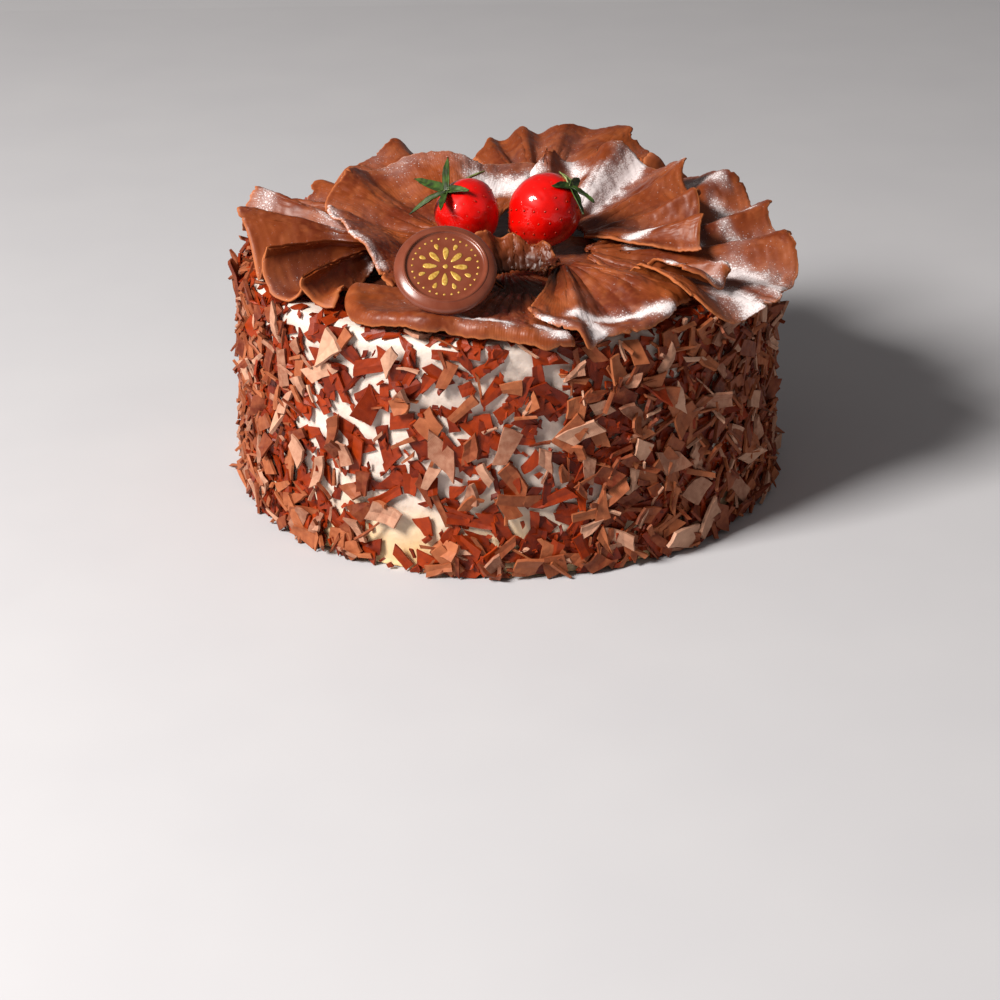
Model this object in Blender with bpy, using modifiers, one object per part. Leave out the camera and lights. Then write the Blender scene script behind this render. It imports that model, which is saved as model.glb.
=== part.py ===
"""A whole round black forest cake: a cream coat with chocolate flakes, chocolate ruffles, two
glazed berries and a plaque.

Units are metres, +Z is up, and the origin is the middle of the cake's flat base.
The front of the cake, where the plaque leans, faces -Y.
"""

import math
import random

import bmesh
import bpy
import numpy as np
from mathutils import Euler, Matrix, Vector

MM = 0.001

# The cake under its toppings, a slightly tapered drum of cream
CAKE_HEIGHT = 86 * MM
BASE_RADIUS = 98 * MM
TOP_RADIUS = 95.5 * MM
TOP_EDGE_ROUND = 5 * MM
BASE_EDGE_ROUND = 1.5 * MM
DRUM_STEPS = 60
EDGE_STEPS = 3

# Shaved chocolate flakes pressed into the side
FLAKE_ROWS = 8
FLAKES_PER_ROW = 19
FLAKE_LENGTH = (9 * MM, 17 * MM)
FLAKE_WIDTH = (6 * MM, 11 * MM)
FLAKE_THICKNESS = 1.1 * MM
FLAKE_SKEW = 0.35
FLAKE_PINCH = (0.45, 0.95)
FLAKE_TILT = math.radians(24)
FLAKE_STANDOUT = 1.2 * MM
FLAKE_SHIFT = 0.3
FLAKE_RAISE = 3 * MM
FLAKE_FOOT_GAP = 1 * MM
FLAKE_TOP_GAP = 3 * MM
FLAKE_LOWEST = 7 * MM
FLAKE_HIGHEST = 78 * MM
FLAKE_SEED = 7

# Chocolate ruffles: sheets scraped off a slab, gathered at one side and spread at the other
SHEET = 1.4 * MM
REST_GAP = 1.2
FIELD_HALF = 130
SPREAD_OF_REST = 3
SMOOTHING = 50
FINE_OUT, FINE_ROUND = 60, 156
CAD_OUT = 5
RIM_REACH = 97.0
RIM_CLEAR = 104.0
FAR_BELOW = -40.0
ROLL_START = 0.86
ROLL_BACK_PER_MM = 0.01
RISE_POWER = 1.2

# The pleats are a wave round the turn: their spacing drifts, an overtone makes their crests
# narrower than their valleys, they lean sideways, and they deepen from the gather outwards
PLEAT_DRIFT, PLEAT_DRIFT_TURNS = 0.7, 1.3
PLEAT_OVERTONE = 0.22
PLEAT_LEAN, PLEAT_LEAN_RADIUS = 0.55, 12.0
PLEAT_AT_GATHER, PLEAT_GROWTH = 0.12, 0.9
REACH_WAVER, REACH_WAVER_PACE = 0.02, 1.5

# Each ruffle in mm and degrees: where it is gathered and how wide the gather is, the turn that it
# spreads over, then evenly over that turn how far it reaches and how high its edge lifts, and how
# deep its pleats are. Bow arches it up between gather and edge, or hollows it where negative. Roll
# turns its last part down. Columns is how finely it is faceted. The lowest comes first.
RUFFLES = {
    "ruffle_middle": dict(gather=(0, -30, 1), inner=3, turn=(98, 450), reach=(40, 44, 41, 44, 42),
                          lift=(2, 1.5, 2, 1.5, 2), depth=(0.5, 0.7, 0.5), pleats=9, phase=0.1, bow=0,
                          roll=0, columns=30),
    "ruffle_back": dict(gather=(12, 36, 3), inner=5, turn=(36, 122), reach=(57, 69, 61, 58, 48),
                        lift=(7, 15, 15, 14, 9), depth=(1, 1.8, 1.8), pleats=4.6, phase=0.1, bow=2,
                        roll=0, columns=24),
    "ruffle_back_left": dict(gather=(-24, 36, 3), inner=5, turn=(92, 150), reach=(45, 52, 51, 48, 44),
                             lift=(5, 11, 14, 10, 6), depth=(2, 2.5, 2), pleats=1.8, phase=0.6, bow=2,
                             roll=0, columns=14),
    "ruffle_far_left": dict(gather=(-34, 12, 3), inner=5, turn=(112, 190), reach=(52, 54, 53, 52, 50),
                            lift=(8, 7, 5, 6, 7), depth=(3, 3, 3), pleats=3.6, phase=0.2, bow=2,
                            roll=0, columns=18),
    "ruffle_back_right": dict(gather=(34, 20, 3), inner=5, turn=(2, 66), reach=(58, 58, 58),
                              lift=(4, 4, 5), depth=(2.5, 2.5, 2.5), pleats=2.7, phase=0.0, bow=1,
                              roll=0, columns=14),
    "ruffle_front_left": dict(gather=(4, -52, 5), inner=14, turn=(186, 292),
                              reach=(61, 63, 55, 48, 49, 51), lift=(8, 8, 9, 8, 6, 4),
                              depth=(2, 0.5, 0.8), pleats=2.5, phase=0.3, bow=-2, roll=6, columns=24),
    "ruffle_left": dict(gather=(-40, -12, 5), inner=6, turn=(150, 252), reach=(60, 57, 53, 56, 60),
                        lift=(15, 15, 10, 6, 1), depth=(4, 8, 10, 7), pleats=3.6, phase=0.05, bow=2,
                        roll=0, columns=26),
    "ruffle_front": dict(gather=(19, -44, 9), inner=6, turn=(-107, -22), reach=(44, 56, 55, 52, 52, 50),
                         lift=(2, -3, -3, 1, 2, 6), depth=(1.5, 4, 3.2), pleats=2.0, phase=0.66, bow=2,
                         roll=4, columns=20),
    "ruffle_right": dict(gather=(26, -26, 6), inner=6, turn=(-55, 62), reach=(56, 72, 77, 78, 78, 85, 87),
                         lift=(3, -6, 2, 9, 10, 13, 12), depth=(2.5, 4.6, 4.8, 4.8), pleats=4.6, phase=0.15,
                         bow=-3, roll=0, columns=32),
    "ruffle_fold": dict(gather=(46, -45, 7), inner=5, turn=(-50, -2), reach=(24, 32, 34, 31),
                        lift=(9, 9, 10, 9), depth=(2, 3, 2), pleats=1.6, phase=0.2, bow=1, roll=3,
                        columns=12),
    "ruffle_inner_left": dict(gather=(-13, -8, 6), inner=14, turn=(64, 240),
                              reach=(64, 52, 62, 60, 49, 45, 50), lift=(15, 21, 20, 14, 10, 7, 3),
                              depth=(2, 3, 2.6), pleats=4.4, phase=0.35, bow=-2, roll=0, columns=34),
    "ruffle_inner_right": dict(gather=(15, -8, 6), inner=15, turn=(-28, 98),
                               reach=(62, 55, 60, 68, 64, 48), lift=(15, 17, 19, 19, 21, 18),
                               depth=(4.2, 4.8, 4.2), pleats=4.8, phase=0.8, bow=-2, roll=0, columns=30),
    "ruffle_curl": dict(gather=(5, -49, 5), inner=10, turn=(-50, 236), reach=(13, 14, 15, 20, 25),
                        lift=(7, 13, 16, 20, 20), depth=(1, 1.6, 1), pleats=6.4, phase=0.1, bow=1,
                        roll=0, columns=18),
}

# The plaque, a moulded disc with a raised rim, leaning back at the front
PLAQUE_RADIUS = 17.4 * MM
PLAQUE_THICKNESS = 4.0 * MM
PLAQUE_RIM_WIDTH = 4.1 * MM
PLAQUE_RECESS = 0.9 * MM
PLAQUE_EDGE = 0.9 * MM
PLAQUE_INNER_BEVEL = 0.3 * MM
PLAQUE_CENTRE = (-20.5 * MM, -77 * MM, CAKE_HEIGHT + 19 * MM)
PLAQUE_LEAN = math.radians(37)
PLAQUE_ROLL = math.radians(3)
PLAQUE_STEPS = 40

# The two glazed berries: widest radius, height, centre over the cake's top in mm, and the way that
# the stem end points
BERRIES = {
    "berry_left": dict(radius=12.6 * MM, height=24 * MM, centre=(-13, -14, 18),
                       stem=(-0.6, -0.25, 0.75), leaf=14 * MM),
    "berry_right": dict(radius=13.6 * MM, height=30 * MM, centre=(13.5, -15, 18),
                        stem=(0.6, -0.25, 0.65), leaf=9 * MM),
}
BERRY_SEGMENTS, BERRY_RINGS = 16, 10
BERRY_TAPER = 0.3

# The green leaves at each stem end
LEAF_COUNT = 6
LEAF_STEPS, LEAF_RINGS = 6, 3
LEAF_ROOT = 2.6 * MM
LEAF_POINT = 1.6
LEAF_CURL, LEAF_CURL_CHANGE = 2.2 * MM, 0.6
LEAF_THICKNESS = 0.5 * MM
LEAF_GAP = 0.5 * MM

CREAM = ((0.86, 0.80, 0.72), 0.55)
MILK_CHOCOLATE = ((0.27, 0.12, 0.075), 0.45)
PLAQUE_CHOCOLATE = ((0.20, 0.085, 0.06), 0.35)
BERRY_RED = ((0.72, 0.02, 0.015), 0.12)
LEAF_GREEN = ((0.07, 0.16, 0.03), 0.5)


def clear_scene():
    for thing in list(bpy.data.objects):
        bpy.data.objects.remove(thing)


def material(name, look):
    colour, roughness = look
    made = bpy.data.materials.new(name)
    made.use_nodes = True
    shader = made.node_tree.nodes["Principled BSDF"]
    shader.inputs["Base Color"].default_value = (*colour, 1)
    shader.inputs["Roughness"].default_value = roughness
    return made


def into(collection, thing, finish=None):
    """Moves an object from wherever it was made into a collection, with its material."""
    for owner in list(thing.users_collection):
        owner.objects.unlink(thing)
    collection.objects.link(thing)
    if finish:
        thing.data.materials.clear()
        thing.data.materials.append(finish)
    return thing


def apply_scale(thing):
    thing.data.transform(Matrix.Diagonal((*thing.scale, 1)))
    thing.scale = (1, 1, 1)


def turned(name, profile, steps):
    """A shape turned round Z from (radius, height) points that run down its outer side."""
    mesh = bpy.data.meshes.new(name)
    edges = [(i, i + 1) for i in range(len(profile) - 1)]
    mesh.from_pydata([(r, 0, z) for r, z in profile], edges, [])
    thing = bpy.data.objects.new(name, mesh)
    screw = thing.modifiers.new("Turn", "SCREW")
    screw.steps = steps
    screw.render_steps = steps
    screw.use_smooth_shade = False
    screw.use_merge_vertices = True
    screw.merge_threshold = 0.00001
    return thing


def corner(radius_at, height, size, steps, low, high):
    """Points of a rounded corner, from angle low to angle high, about (radius_at, height)."""
    angles = np.linspace(low, high, steps + 1)
    return [(radius_at + size * math.cos(a), height + size * math.sin(a)) for a in angles]


def cake_drum(finish, collection):
    """The coat of cream: a turned drum with rounded edges."""
    top = corner(TOP_RADIUS - TOP_EDGE_ROUND, CAKE_HEIGHT - TOP_EDGE_ROUND, TOP_EDGE_ROUND,
                 EDGE_STEPS, math.pi / 2, 0)
    foot = corner(BASE_RADIUS - BASE_EDGE_ROUND, BASE_EDGE_ROUND, BASE_EDGE_ROUND, 1, 0, -math.pi / 2)
    drum = turned("cake", [(0, CAKE_HEIGHT)] + top + foot + [(0, 0)], DRUM_STEPS)
    return into(collection, drum, finish)


def side_radius(height):
    """Radius of the cream at a height, following the taper."""
    return BASE_RADIUS + (TOP_RADIUS - BASE_RADIUS) * height / CAKE_HEIGHT


def flake(name, length, width, draw):
    """One thin shaving: a flat plate with a skewed outline, from a cube."""
    bpy.ops.mesh.primitive_cube_add(size=1)
    plate = bpy.context.object
    plate.name = name
    plate.scale = (length, width, FLAKE_THICKNESS)
    apply_scale(plate)
    skew = draw.uniform(-FLAKE_SKEW, FLAKE_SKEW)
    pinch = draw.uniform(*FLAKE_PINCH)
    for vertex in plate.data.vertices:
        if vertex.co.x > 0:
            vertex.co.y *= pinch
        vertex.co.x += skew * vertex.co.y
    return plate


def scatter_flakes(collection):
    """Flakes in staggered rings round the side, each turned and tilted by a seeded draw."""
    draw = random.Random(FLAKE_SEED)
    for row in range(FLAKE_ROWS):
        share = (row + 0.5) / FLAKE_ROWS
        for place in range(FLAKES_PER_ROW):
            shift = 0.5 * (row % 2) + draw.uniform(-FLAKE_SHIFT, FLAKE_SHIFT)
            angle = 2 * math.pi * (place + shift) / FLAKES_PER_ROW
            height = FLAKE_LOWEST + (FLAKE_HIGHEST - FLAKE_LOWEST) * share
            height += draw.uniform(-FLAKE_RAISE, FLAKE_RAISE)
            length = draw.uniform(*FLAKE_LENGTH)
            width = draw.uniform(*FLAKE_WIDTH)
            plate = flake("flake", length, width, draw)
            tilt = Euler((draw.uniform(-FLAKE_TILT, FLAKE_TILT), draw.uniform(-FLAKE_TILT, FLAKE_TILT),
                          draw.uniform(0, math.pi))).to_matrix().to_4x4()
            facing = Matrix.Rotation(angle, 4, "Z") @ Matrix.Rotation(math.pi / 2, 4, "Y")
            half = max(length, width) / 2
            height = min(max(height, half + FLAKE_FOOT_GAP), CAKE_HEIGHT - half - FLAKE_TOP_GAP)
            out = side_radius(height) + FLAKE_STANDOUT
            middle = Vector((out * math.cos(angle), out * math.sin(angle), height))
            plate.matrix_world = Matrix.Translation(middle) @ facing @ tilt
            into(collection, plate)


def fuse(thing, cutters):
    """Joins every object of a collection onto thing, applies the join, and removes them."""
    join = thing.modifiers.new("Fuse", "BOOLEAN")
    join.operation = "UNION"
    join.operand_type = "COLLECTION"
    join.collection = cutters
    join.solver = "EXACT"
    graph = bpy.context.evaluated_depsgraph_get()
    mesh = bpy.data.meshes.new_from_object(thing.evaluated_get(graph))
    thing.modifiers.clear()
    thing.data = mesh
    for extra in list(cutters.objects):
        bpy.data.objects.remove(extra)
    largest_piece_only(thing)


def largest_piece_only(thing):
    """Drops any loose scrap that the join left beside the main body."""
    shape = bmesh.new()
    shape.from_mesh(thing.data)
    left = set(shape.verts)
    pieces = []
    while left:
        start = left.pop()
        piece, edge = {start}, [start]
        while edge:
            for link in edge.pop().link_edges:
                for end in link.verts:
                    if end in left:
                        left.discard(end)
                        piece.add(end)
                        edge.append(end)
        pieces.append(piece)
    pieces.sort(key=len, reverse=True)
    bmesh.ops.delete(shape, geom=[v for piece in pieces[1:] for v in piece], context="VERTS")
    shape.to_mesh(thing.data)
    shape.free()


def along(values, t):
    """A smooth run through evenly spaced values as t goes from 0 to 1."""
    values = np.array(values, dtype=float)
    before, after = 2 * values[0] - values[1], 2 * values[-1] - values[-2]
    knots = np.concatenate([[before], values, [after]])
    place = t * (len(values) - 1)
    i = np.minimum(place.astype(int), len(values) - 2)
    f = place - i
    a, b, c, d = knots[i], knots[i + 1], knots[i + 2], knots[i + 3]
    return b + f * (c - a + f * (2 * a - 5 * b + 4 * c - d + f * (3 * b - a - 3 * c + d))) / 2


def ruffle_form(ruffle, s, t):
    """Points of a ruffle in mm, heights above the cake's top: s runs outwards, t round the turn."""
    start, end = np.radians(ruffle["turn"])
    swing = 2 * np.pi * (ruffle["pleats"] * t + ruffle["phase"])
    swing = swing + PLEAT_DRIFT * np.sin(2 * np.pi * (PLEAT_DRIFT_TURNS * t + ruffle["phase"]))
    wave = np.sin(swing) + PLEAT_OVERTONE * np.sin(2 * swing + 1)
    depth = along(ruffle["depth"], t) * (PLEAT_AT_GATHER + (1 - PLEAT_AT_GATHER) * s ** PLEAT_GROWTH)
    reach = along(ruffle["reach"], t) * (1 + REACH_WAVER * np.sin(REACH_WAVER_PACE * swing + 2))
    rolled = np.clip((s - ROLL_START) / (1 - ROLL_START), 0, 1) ** 2 * ruffle["roll"]
    out = ruffle["inner"] + (reach - ruffle["inner"]) * (s - ROLL_BACK_PER_MM * rolled)
    lean = PLEAT_LEAN * depth / np.maximum(out, PLEAT_LEAN_RADIUS) * np.cos(swing)
    angle = start + (end - start) * t + lean
    gx, gy, gz = ruffle["gather"]
    height = gz + (along(ruffle["lift"], t) - gz) * s ** RISE_POWER
    height = height + ruffle["bow"] * np.sin(np.pi * s) + depth * wave - rolled
    return gx + out * np.cos(angle), gy + out * np.sin(angle), height


def grown(field, cells):
    """The field with each cell raised to the highest within that many cells of it."""
    for _ in range(cells):
        padded = np.pad(field, 1, mode="edge")
        field = np.maximum.reduce([padded[1:-1, 1:-1], padded[2:, 1:-1], padded[:-2, 1:-1],
                                   padded[1:-1, 2:], padded[1:-1, :-2]])
    return field


def blurred(field):
    padded = np.pad(field, 1, mode="edge")
    return (padded[2:, 1:-1] + padded[:-2, 1:-1] + padded[1:-1, 2:] + padded[1:-1, :-2]
            + 2 * padded[1:-1, 1:-1]) / 6


def bare_top():
    """Height in mm over the cake's top of what a ruffle can lie on: the cream, and nothing past its rim."""
    line = np.arange(-FIELD_HALF, FIELD_HALF + 1, dtype=float)
    x, y = np.meshgrid(line, line, indexing="ij")
    past = np.clip((np.hypot(x, y) - RIM_REACH) / (RIM_CLEAR - RIM_REACH), 0, 1)
    return FAR_BELOW * past ** 1.5


def cell_of(values):
    return np.clip(np.rint(values + FIELD_HALF).astype(int), 0, 2 * FIELD_HALF)


def lay_ruffles():
    """Lays the ruffles one on another, each lifted smoothly to clear what is under it."""
    s, t = np.meshgrid(np.linspace(0, 1, FINE_OUT + 1), np.linspace(0, 1, FINE_ROUND + 1), indexing="ij")
    under = bare_top()
    laid = {}
    for name, ruffle in RUFFLES.items():
        x, y, z = ruffle_form(ruffle, s, t)
        rest = grown(under, SPREAD_OF_REST)
        short = rest[cell_of(x), cell_of(y)] + REST_GAP - z
        lift = np.maximum(short, 0)
        for _ in range(SMOOTHING):
            lift = np.maximum(short, blurred(lift))
        z = z + np.maximum(lift, 0)
        top = z + SHEET / MM
        np.maximum.at(under, (cell_of(x), cell_of(y)), top)
        laid[name] = np.stack([x * MM, y * MM, CAKE_HEIGHT + z * MM], axis=-1)
    return laid


def ruffle_sheet(name, points, finish, collection):
    """A grid shaped to the ruffle's points, split into triangles, with Solidify for its thickness."""
    columns = RUFFLES[name]["columns"]
    bpy.ops.mesh.primitive_grid_add(x_subdivisions=CAD_OUT, y_subdivisions=columns, size=2)
    sheet = bpy.context.object
    sheet.name = name
    out = np.rint(np.linspace(0, FINE_OUT, CAD_OUT + 1)).astype(int)
    across = np.rint(np.linspace(0, FINE_ROUND, columns + 1)).astype(int)
    for vertex in sheet.data.vertices:
        i = round((vertex.co.x + 1) / 2 * CAD_OUT)
        j = round((vertex.co.y + 1) / 2 * columns)
        vertex.co = Vector(points[out[i], across[j]])
    shape = bmesh.new()
    shape.from_mesh(sheet.data)
    bmesh.ops.triangulate(shape, faces=shape.faces)
    shape.to_mesh(sheet.data)
    shape.free()
    wall = sheet.modifiers.new("Thickness", "SOLIDIFY")
    wall.thickness = SHEET
    wall.offset = 1
    sheet.data.shade_smooth()
    return into(collection, sheet, finish)


def plaque(finish, collection):
    """The round plaque: a turned disc with a raised rim round a shallow recess."""
    r, t, e = PLAQUE_RADIUS, PLAQUE_THICKNESS, PLAQUE_EDGE
    inner = r - PLAQUE_RIM_WIDTH
    floor = t - PLAQUE_RECESS
    profile = [(0, floor), (inner - e, floor), (inner, t - PLAQUE_INNER_BEVEL), (inner + e, t), (r - e, t),
               (r, t - e), (r, e), (r - e, 0), (0, 0)]
    disc = turned("plaque", profile, PLAQUE_STEPS)
    disc.location = PLAQUE_CENTRE
    disc.rotation_euler = (PLAQUE_LEAN, PLAQUE_ROLL, 0)
    return into(collection, disc, finish)


def stem_turn(direction):
    return Vector((0, 0, 1)).rotation_difference(Vector(direction).normalized())


def berry(name, sizes, finish, collection):
    """A berry: a sphere stretched along its stem axis and tapered towards its tip."""
    bpy.ops.mesh.primitive_uv_sphere_add(segments=BERRY_SEGMENTS, ring_count=BERRY_RINGS, radius=1)
    fruit = bpy.context.object
    fruit.name = name
    for vertex in fruit.data.vertices:
        x, y, z = vertex.co
        narrow = 1 - BERRY_TAPER * ((1 - z) / 2) ** 2
        vertex.co = (x * narrow * sizes["radius"], y * narrow * sizes["radius"], z * sizes["height"] / 2)
    place = Vector(sizes["centre"]) * MM + Vector((0, 0, CAKE_HEIGHT))
    fruit.matrix_world = Matrix.Translation(place) @ stem_turn(sizes["stem"]).to_matrix().to_4x4()
    fruit.data.shade_smooth()
    return into(collection, fruit, finish)


def leaves(name, sizes, finish, collection):
    """The leaves at a stem end: one star-shaped sheet that bends over the berry's shoulder."""
    bpy.ops.mesh.primitive_circle_add(vertices=LEAF_COUNT * LEAF_STEPS, radius=1, fill_type="TRIFAN")
    star = bpy.context.object
    star.name = name
    shape = bmesh.new()
    shape.from_mesh(star.data)
    spokes = [e for e in shape.edges if any(v.co.length < 0.01 for v in e.verts)]
    bmesh.ops.subdivide_edges(shape, edges=spokes, cuts=LEAF_RINGS - 1)
    bmesh.ops.triangulate(shape, faces=shape.faces)
    for vertex in shape.verts:
        share = vertex.co.length
        around = math.atan2(vertex.co.y, vertex.co.x)
        blade = abs(math.cos(around * LEAF_COUNT / 2)) ** LEAF_POINT
        reach = LEAF_ROOT + (sizes["leaf"] - LEAF_ROOT) * blade
        curl = LEAF_CURL * share ** 2 * blade * (1 + LEAF_CURL_CHANGE * math.sin(2 * around + 1))
        vertex.co = (reach * share * math.cos(around), reach * share * math.sin(around), curl)
    shape.to_mesh(star.data)
    shape.free()
    place = Vector(sizes["centre"]) * MM + Vector((0, 0, CAKE_HEIGHT))
    turn = stem_turn(sizes["stem"])
    place += turn @ Vector((0, 0, sizes["height"] / 2 + LEAF_GAP))
    star.matrix_world = Matrix.Translation(place) @ turn.to_matrix().to_4x4()
    wall = star.modifiers.new("Thickness", "SOLIDIFY")
    wall.thickness = LEAF_THICKNESS
    wall.offset = 1
    return into(collection, star, finish)


def main():
    clear_scene()
    cake_parts = bpy.data.collections.new("black_forest_cake")
    joined = bpy.data.collections.new("joined_flakes")
    bpy.context.scene.collection.children.link(cake_parts)
    bpy.context.scene.collection.children.link(joined)
    cream = material("cream", CREAM)
    chocolate = material("milk_chocolate", MILK_CHOCOLATE)
    moulded = material("plaque_chocolate", PLAQUE_CHOCOLATE)
    red = material("glazed_berry", BERRY_RED)
    green = material("berry_leaf", LEAF_GREEN)

    drum = cake_drum(cream, cake_parts)
    scatter_flakes(joined)
    fuse(drum, joined)
    bpy.data.collections.remove(joined)

    for name, points in lay_ruffles().items():
        ruffle_sheet(name, points, chocolate, cake_parts)
    plaque(moulded, cake_parts)
    for name, sizes in BERRIES.items():
        berry(name, sizes, red, cake_parts)
        leaves(name.replace("berry", "leaves"), sizes, green, cake_parts)


main()
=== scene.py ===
# %% [markdown]
# A black forest cake, dressed for the camera. The sponge and filling are out of sight, so what the
# eye meets is four foods: whipped cream spread with a knife, shavings of chocolate pressed into it,
# sheets of chocolate scraped off a slab into ruffles, and two glazed strawberries. Each is made here
# as a surface worked out from a formula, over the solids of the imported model, in metres.

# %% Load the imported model
import math

import bpy
import numpy as np
from mathutils import Matrix, Vector


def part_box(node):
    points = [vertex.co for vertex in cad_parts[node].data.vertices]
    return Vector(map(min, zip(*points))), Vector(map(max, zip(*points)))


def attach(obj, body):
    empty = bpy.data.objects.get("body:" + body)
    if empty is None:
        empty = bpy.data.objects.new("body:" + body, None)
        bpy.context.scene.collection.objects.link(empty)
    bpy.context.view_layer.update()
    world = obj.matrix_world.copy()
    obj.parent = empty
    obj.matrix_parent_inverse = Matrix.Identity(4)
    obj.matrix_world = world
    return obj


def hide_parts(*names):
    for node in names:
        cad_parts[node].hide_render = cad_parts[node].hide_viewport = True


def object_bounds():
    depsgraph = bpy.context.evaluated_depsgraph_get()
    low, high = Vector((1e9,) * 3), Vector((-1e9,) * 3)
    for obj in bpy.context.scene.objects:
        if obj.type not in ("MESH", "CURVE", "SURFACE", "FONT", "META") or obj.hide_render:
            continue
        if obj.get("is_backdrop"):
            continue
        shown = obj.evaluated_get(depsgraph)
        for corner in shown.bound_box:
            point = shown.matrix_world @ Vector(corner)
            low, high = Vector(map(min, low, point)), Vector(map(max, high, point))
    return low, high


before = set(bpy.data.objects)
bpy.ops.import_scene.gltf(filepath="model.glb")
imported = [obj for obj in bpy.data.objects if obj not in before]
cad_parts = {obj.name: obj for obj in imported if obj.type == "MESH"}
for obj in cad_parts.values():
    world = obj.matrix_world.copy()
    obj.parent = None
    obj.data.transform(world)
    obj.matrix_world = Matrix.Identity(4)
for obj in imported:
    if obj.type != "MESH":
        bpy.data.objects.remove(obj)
cad_box = [list(corner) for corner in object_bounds()]
MM = 0.001
CAKE_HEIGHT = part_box("cake")[1].z
CAKE_TOP = CAKE_HEIGHT / MM
print("cake top at", round(CAKE_TOP, 1), "mm,", len(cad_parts), "solids")

# %% [markdown]
# The photo looks down on the cake from about 25 degrees with a long lens. The camera stands 0.95 m
# from a point on the floor near the middle of the cake, and leans by under a degree.

# %% Camera
VIEW_ELEVATION = math.radians(24.8)
VIEW_DISTANCE = 0.95
VIEW_ROLL = math.radians(-0.86)
VIEW_CENTRE = Vector((-2, -10, 0)) * MM
AIM_LEFT, AIM_DOWN = 1.3 * MM, 11.2 * MM
# In mm, as on a real camera
LENS, SENSOR = 90.3, 36
NEAREST_SEEN = 0.01


def show(name, data):
    """A new object of the scene that holds the data."""
    made = bpy.data.objects.new(name, data)
    bpy.context.scene.collection.objects.link(made)
    return made


def make_camera():
    """Looks from VIEW_CENTRE backed off along the line of sight, at a point a little below it."""
    forward = Vector((0, math.cos(VIEW_ELEVATION), -math.sin(VIEW_ELEVATION)))
    upward = Vector((0, math.sin(VIEW_ELEVATION), math.cos(VIEW_ELEVATION)))
    stand = VIEW_CENTRE - forward * VIEW_DISTANCE
    aim = VIEW_CENTRE - upward * AIM_DOWN - Vector((AIM_LEFT, 0, 0))
    camera = show("camera", bpy.data.cameras.new("camera"))
    turn = (aim - stand).to_track_quat("-Z", "Y").to_matrix().to_4x4()
    camera.matrix_world = Matrix.Translation(stand) @ turn @ Matrix.Rotation(VIEW_ROLL, 4, "Z")
    camera.data.sensor_width = SENSOR
    camera.data.lens = LENS
    camera.data.clip_start = NEAREST_SEEN
    bpy.context.scene.camera = camera
    return camera


print("camera at", [round(c, 3) for c in make_camera().location])

# %% [markdown]
# A material is a small tree of nodes. Colours are written as the hex values that a screen shows,
# and one function turns them to the linear values that light is added up in. One more function adds
# any node, with its settings and what feeds it, so that a material reads from top to bottom.

# %% Colour and node helpers


def linear(hex_colour):
    """Each channel c of an sRGB colour becomes ((c + 0.055) / 1.055) to the power 2.4, or c / 12.92."""
    channels = [int(hex_colour[i:i + 2], 16) / 255 for i in (1, 3, 5)]
    return tuple(c / 12.92 if c <= 0.04045 else ((c + 0.055) / 1.055) ** 2.4 for c in channels) + (1,)


def feed(tree, node, inputs):
    """Gives inputs, by name or in their order, a number, a hex colour or another node's output."""
    for name, value in inputs.items() if isinstance(inputs, dict) else enumerate(inputs):
        if isinstance(value, bpy.types.NodeSocket):
            tree.links.new(value, node.inputs[name])
        else:
            node.inputs[name].default_value = linear(value) if isinstance(value, str) else value


def add(tree, kind, inputs=(), out=0, **settings):
    """Adds a node with its own settings, feeds it, and gives one of its outputs."""
    made = tree.nodes.new("ShaderNode" + kind)
    for name, value in settings.items():
        setattr(made, name, value)
    feed(tree, made, inputs)
    return made.outputs[out]


def start_material(name):
    """An empty material with its tree, the surface shader and the object's own coordinates."""
    made = bpy.data.materials.new(name)
    made.use_nodes = True
    tree = made.node_tree
    return made, tree, tree.nodes["Principled BSDF"], add(tree, "TexCoord", out="Object")


def per_mm(size_mm):
    """The scale of a texture node whose pattern repeats about every size_mm in metres of space."""
    return 1 / (size_mm * MM)


print("chocolate is", [round(c, 3) for c in linear("#7a4530")])

# %% [markdown]
# Nothing on a handmade cake is smooth or regular. The noise here is the oldest kind: random
# heights on the crossings of a lattice, blended between them. Adding it to itself at half the size
# and half the height gives the mix of large and small unevenness that real surfaces have.

# %% Unevenness


def lattice_noise(x, y, seed):
    """Random values from -1 to 1 on whole numbers of x and y, blended by 3ff - 2fff between."""
    table = np.random.default_rng(seed).uniform(-1, 1, (64, 64))
    i, j = np.floor(x).astype(int), np.floor(y).astype(int)
    f, g = x - i, y - j
    f, g = f * f * (3 - 2 * f), g * g * (3 - 2 * g)
    low = table[i % 64, j % 64] * (1 - f) + table[(i + 1) % 64, j % 64] * f
    high = table[i % 64, (j + 1) % 64] * (1 - f) + table[(i + 1) % 64, (j + 1) % 64] * f
    return low * (1 - g) + high * g


def rough(x, y, seed, octaves=3):
    """The sum of lattice noise at 1, 1/2, 1/4 ... of the size, each at half the height before it."""
    return sum(0.5 ** k * lattice_noise(x * 2 ** k + 7.3 * k, y * 2 ** k, seed + k) for k in range(octaves))


heights = rough(np.arange(99) / 7, np.zeros(99), 1)
print("noise spans", round(float(heights.min()), 2), "to", round(float(heights.max()), 2))

# %% [markdown]
# Two closed forms cover every piece. A thin sheet is a grid of points with a copy of itself moved
# out along its normal and a rim of quads between the two. A skin is a stack of rings with a pole at
# each end. Both take a whole batch of forms at once, so a thousand shavings cost one call.

# %% Sheets, skins and pieces


def unit(vectors):
    """Vectors divided by their own length."""
    return vectors / (np.linalg.norm(vectors, axis=-1, keepdims=True) + 1e-12)


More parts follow.
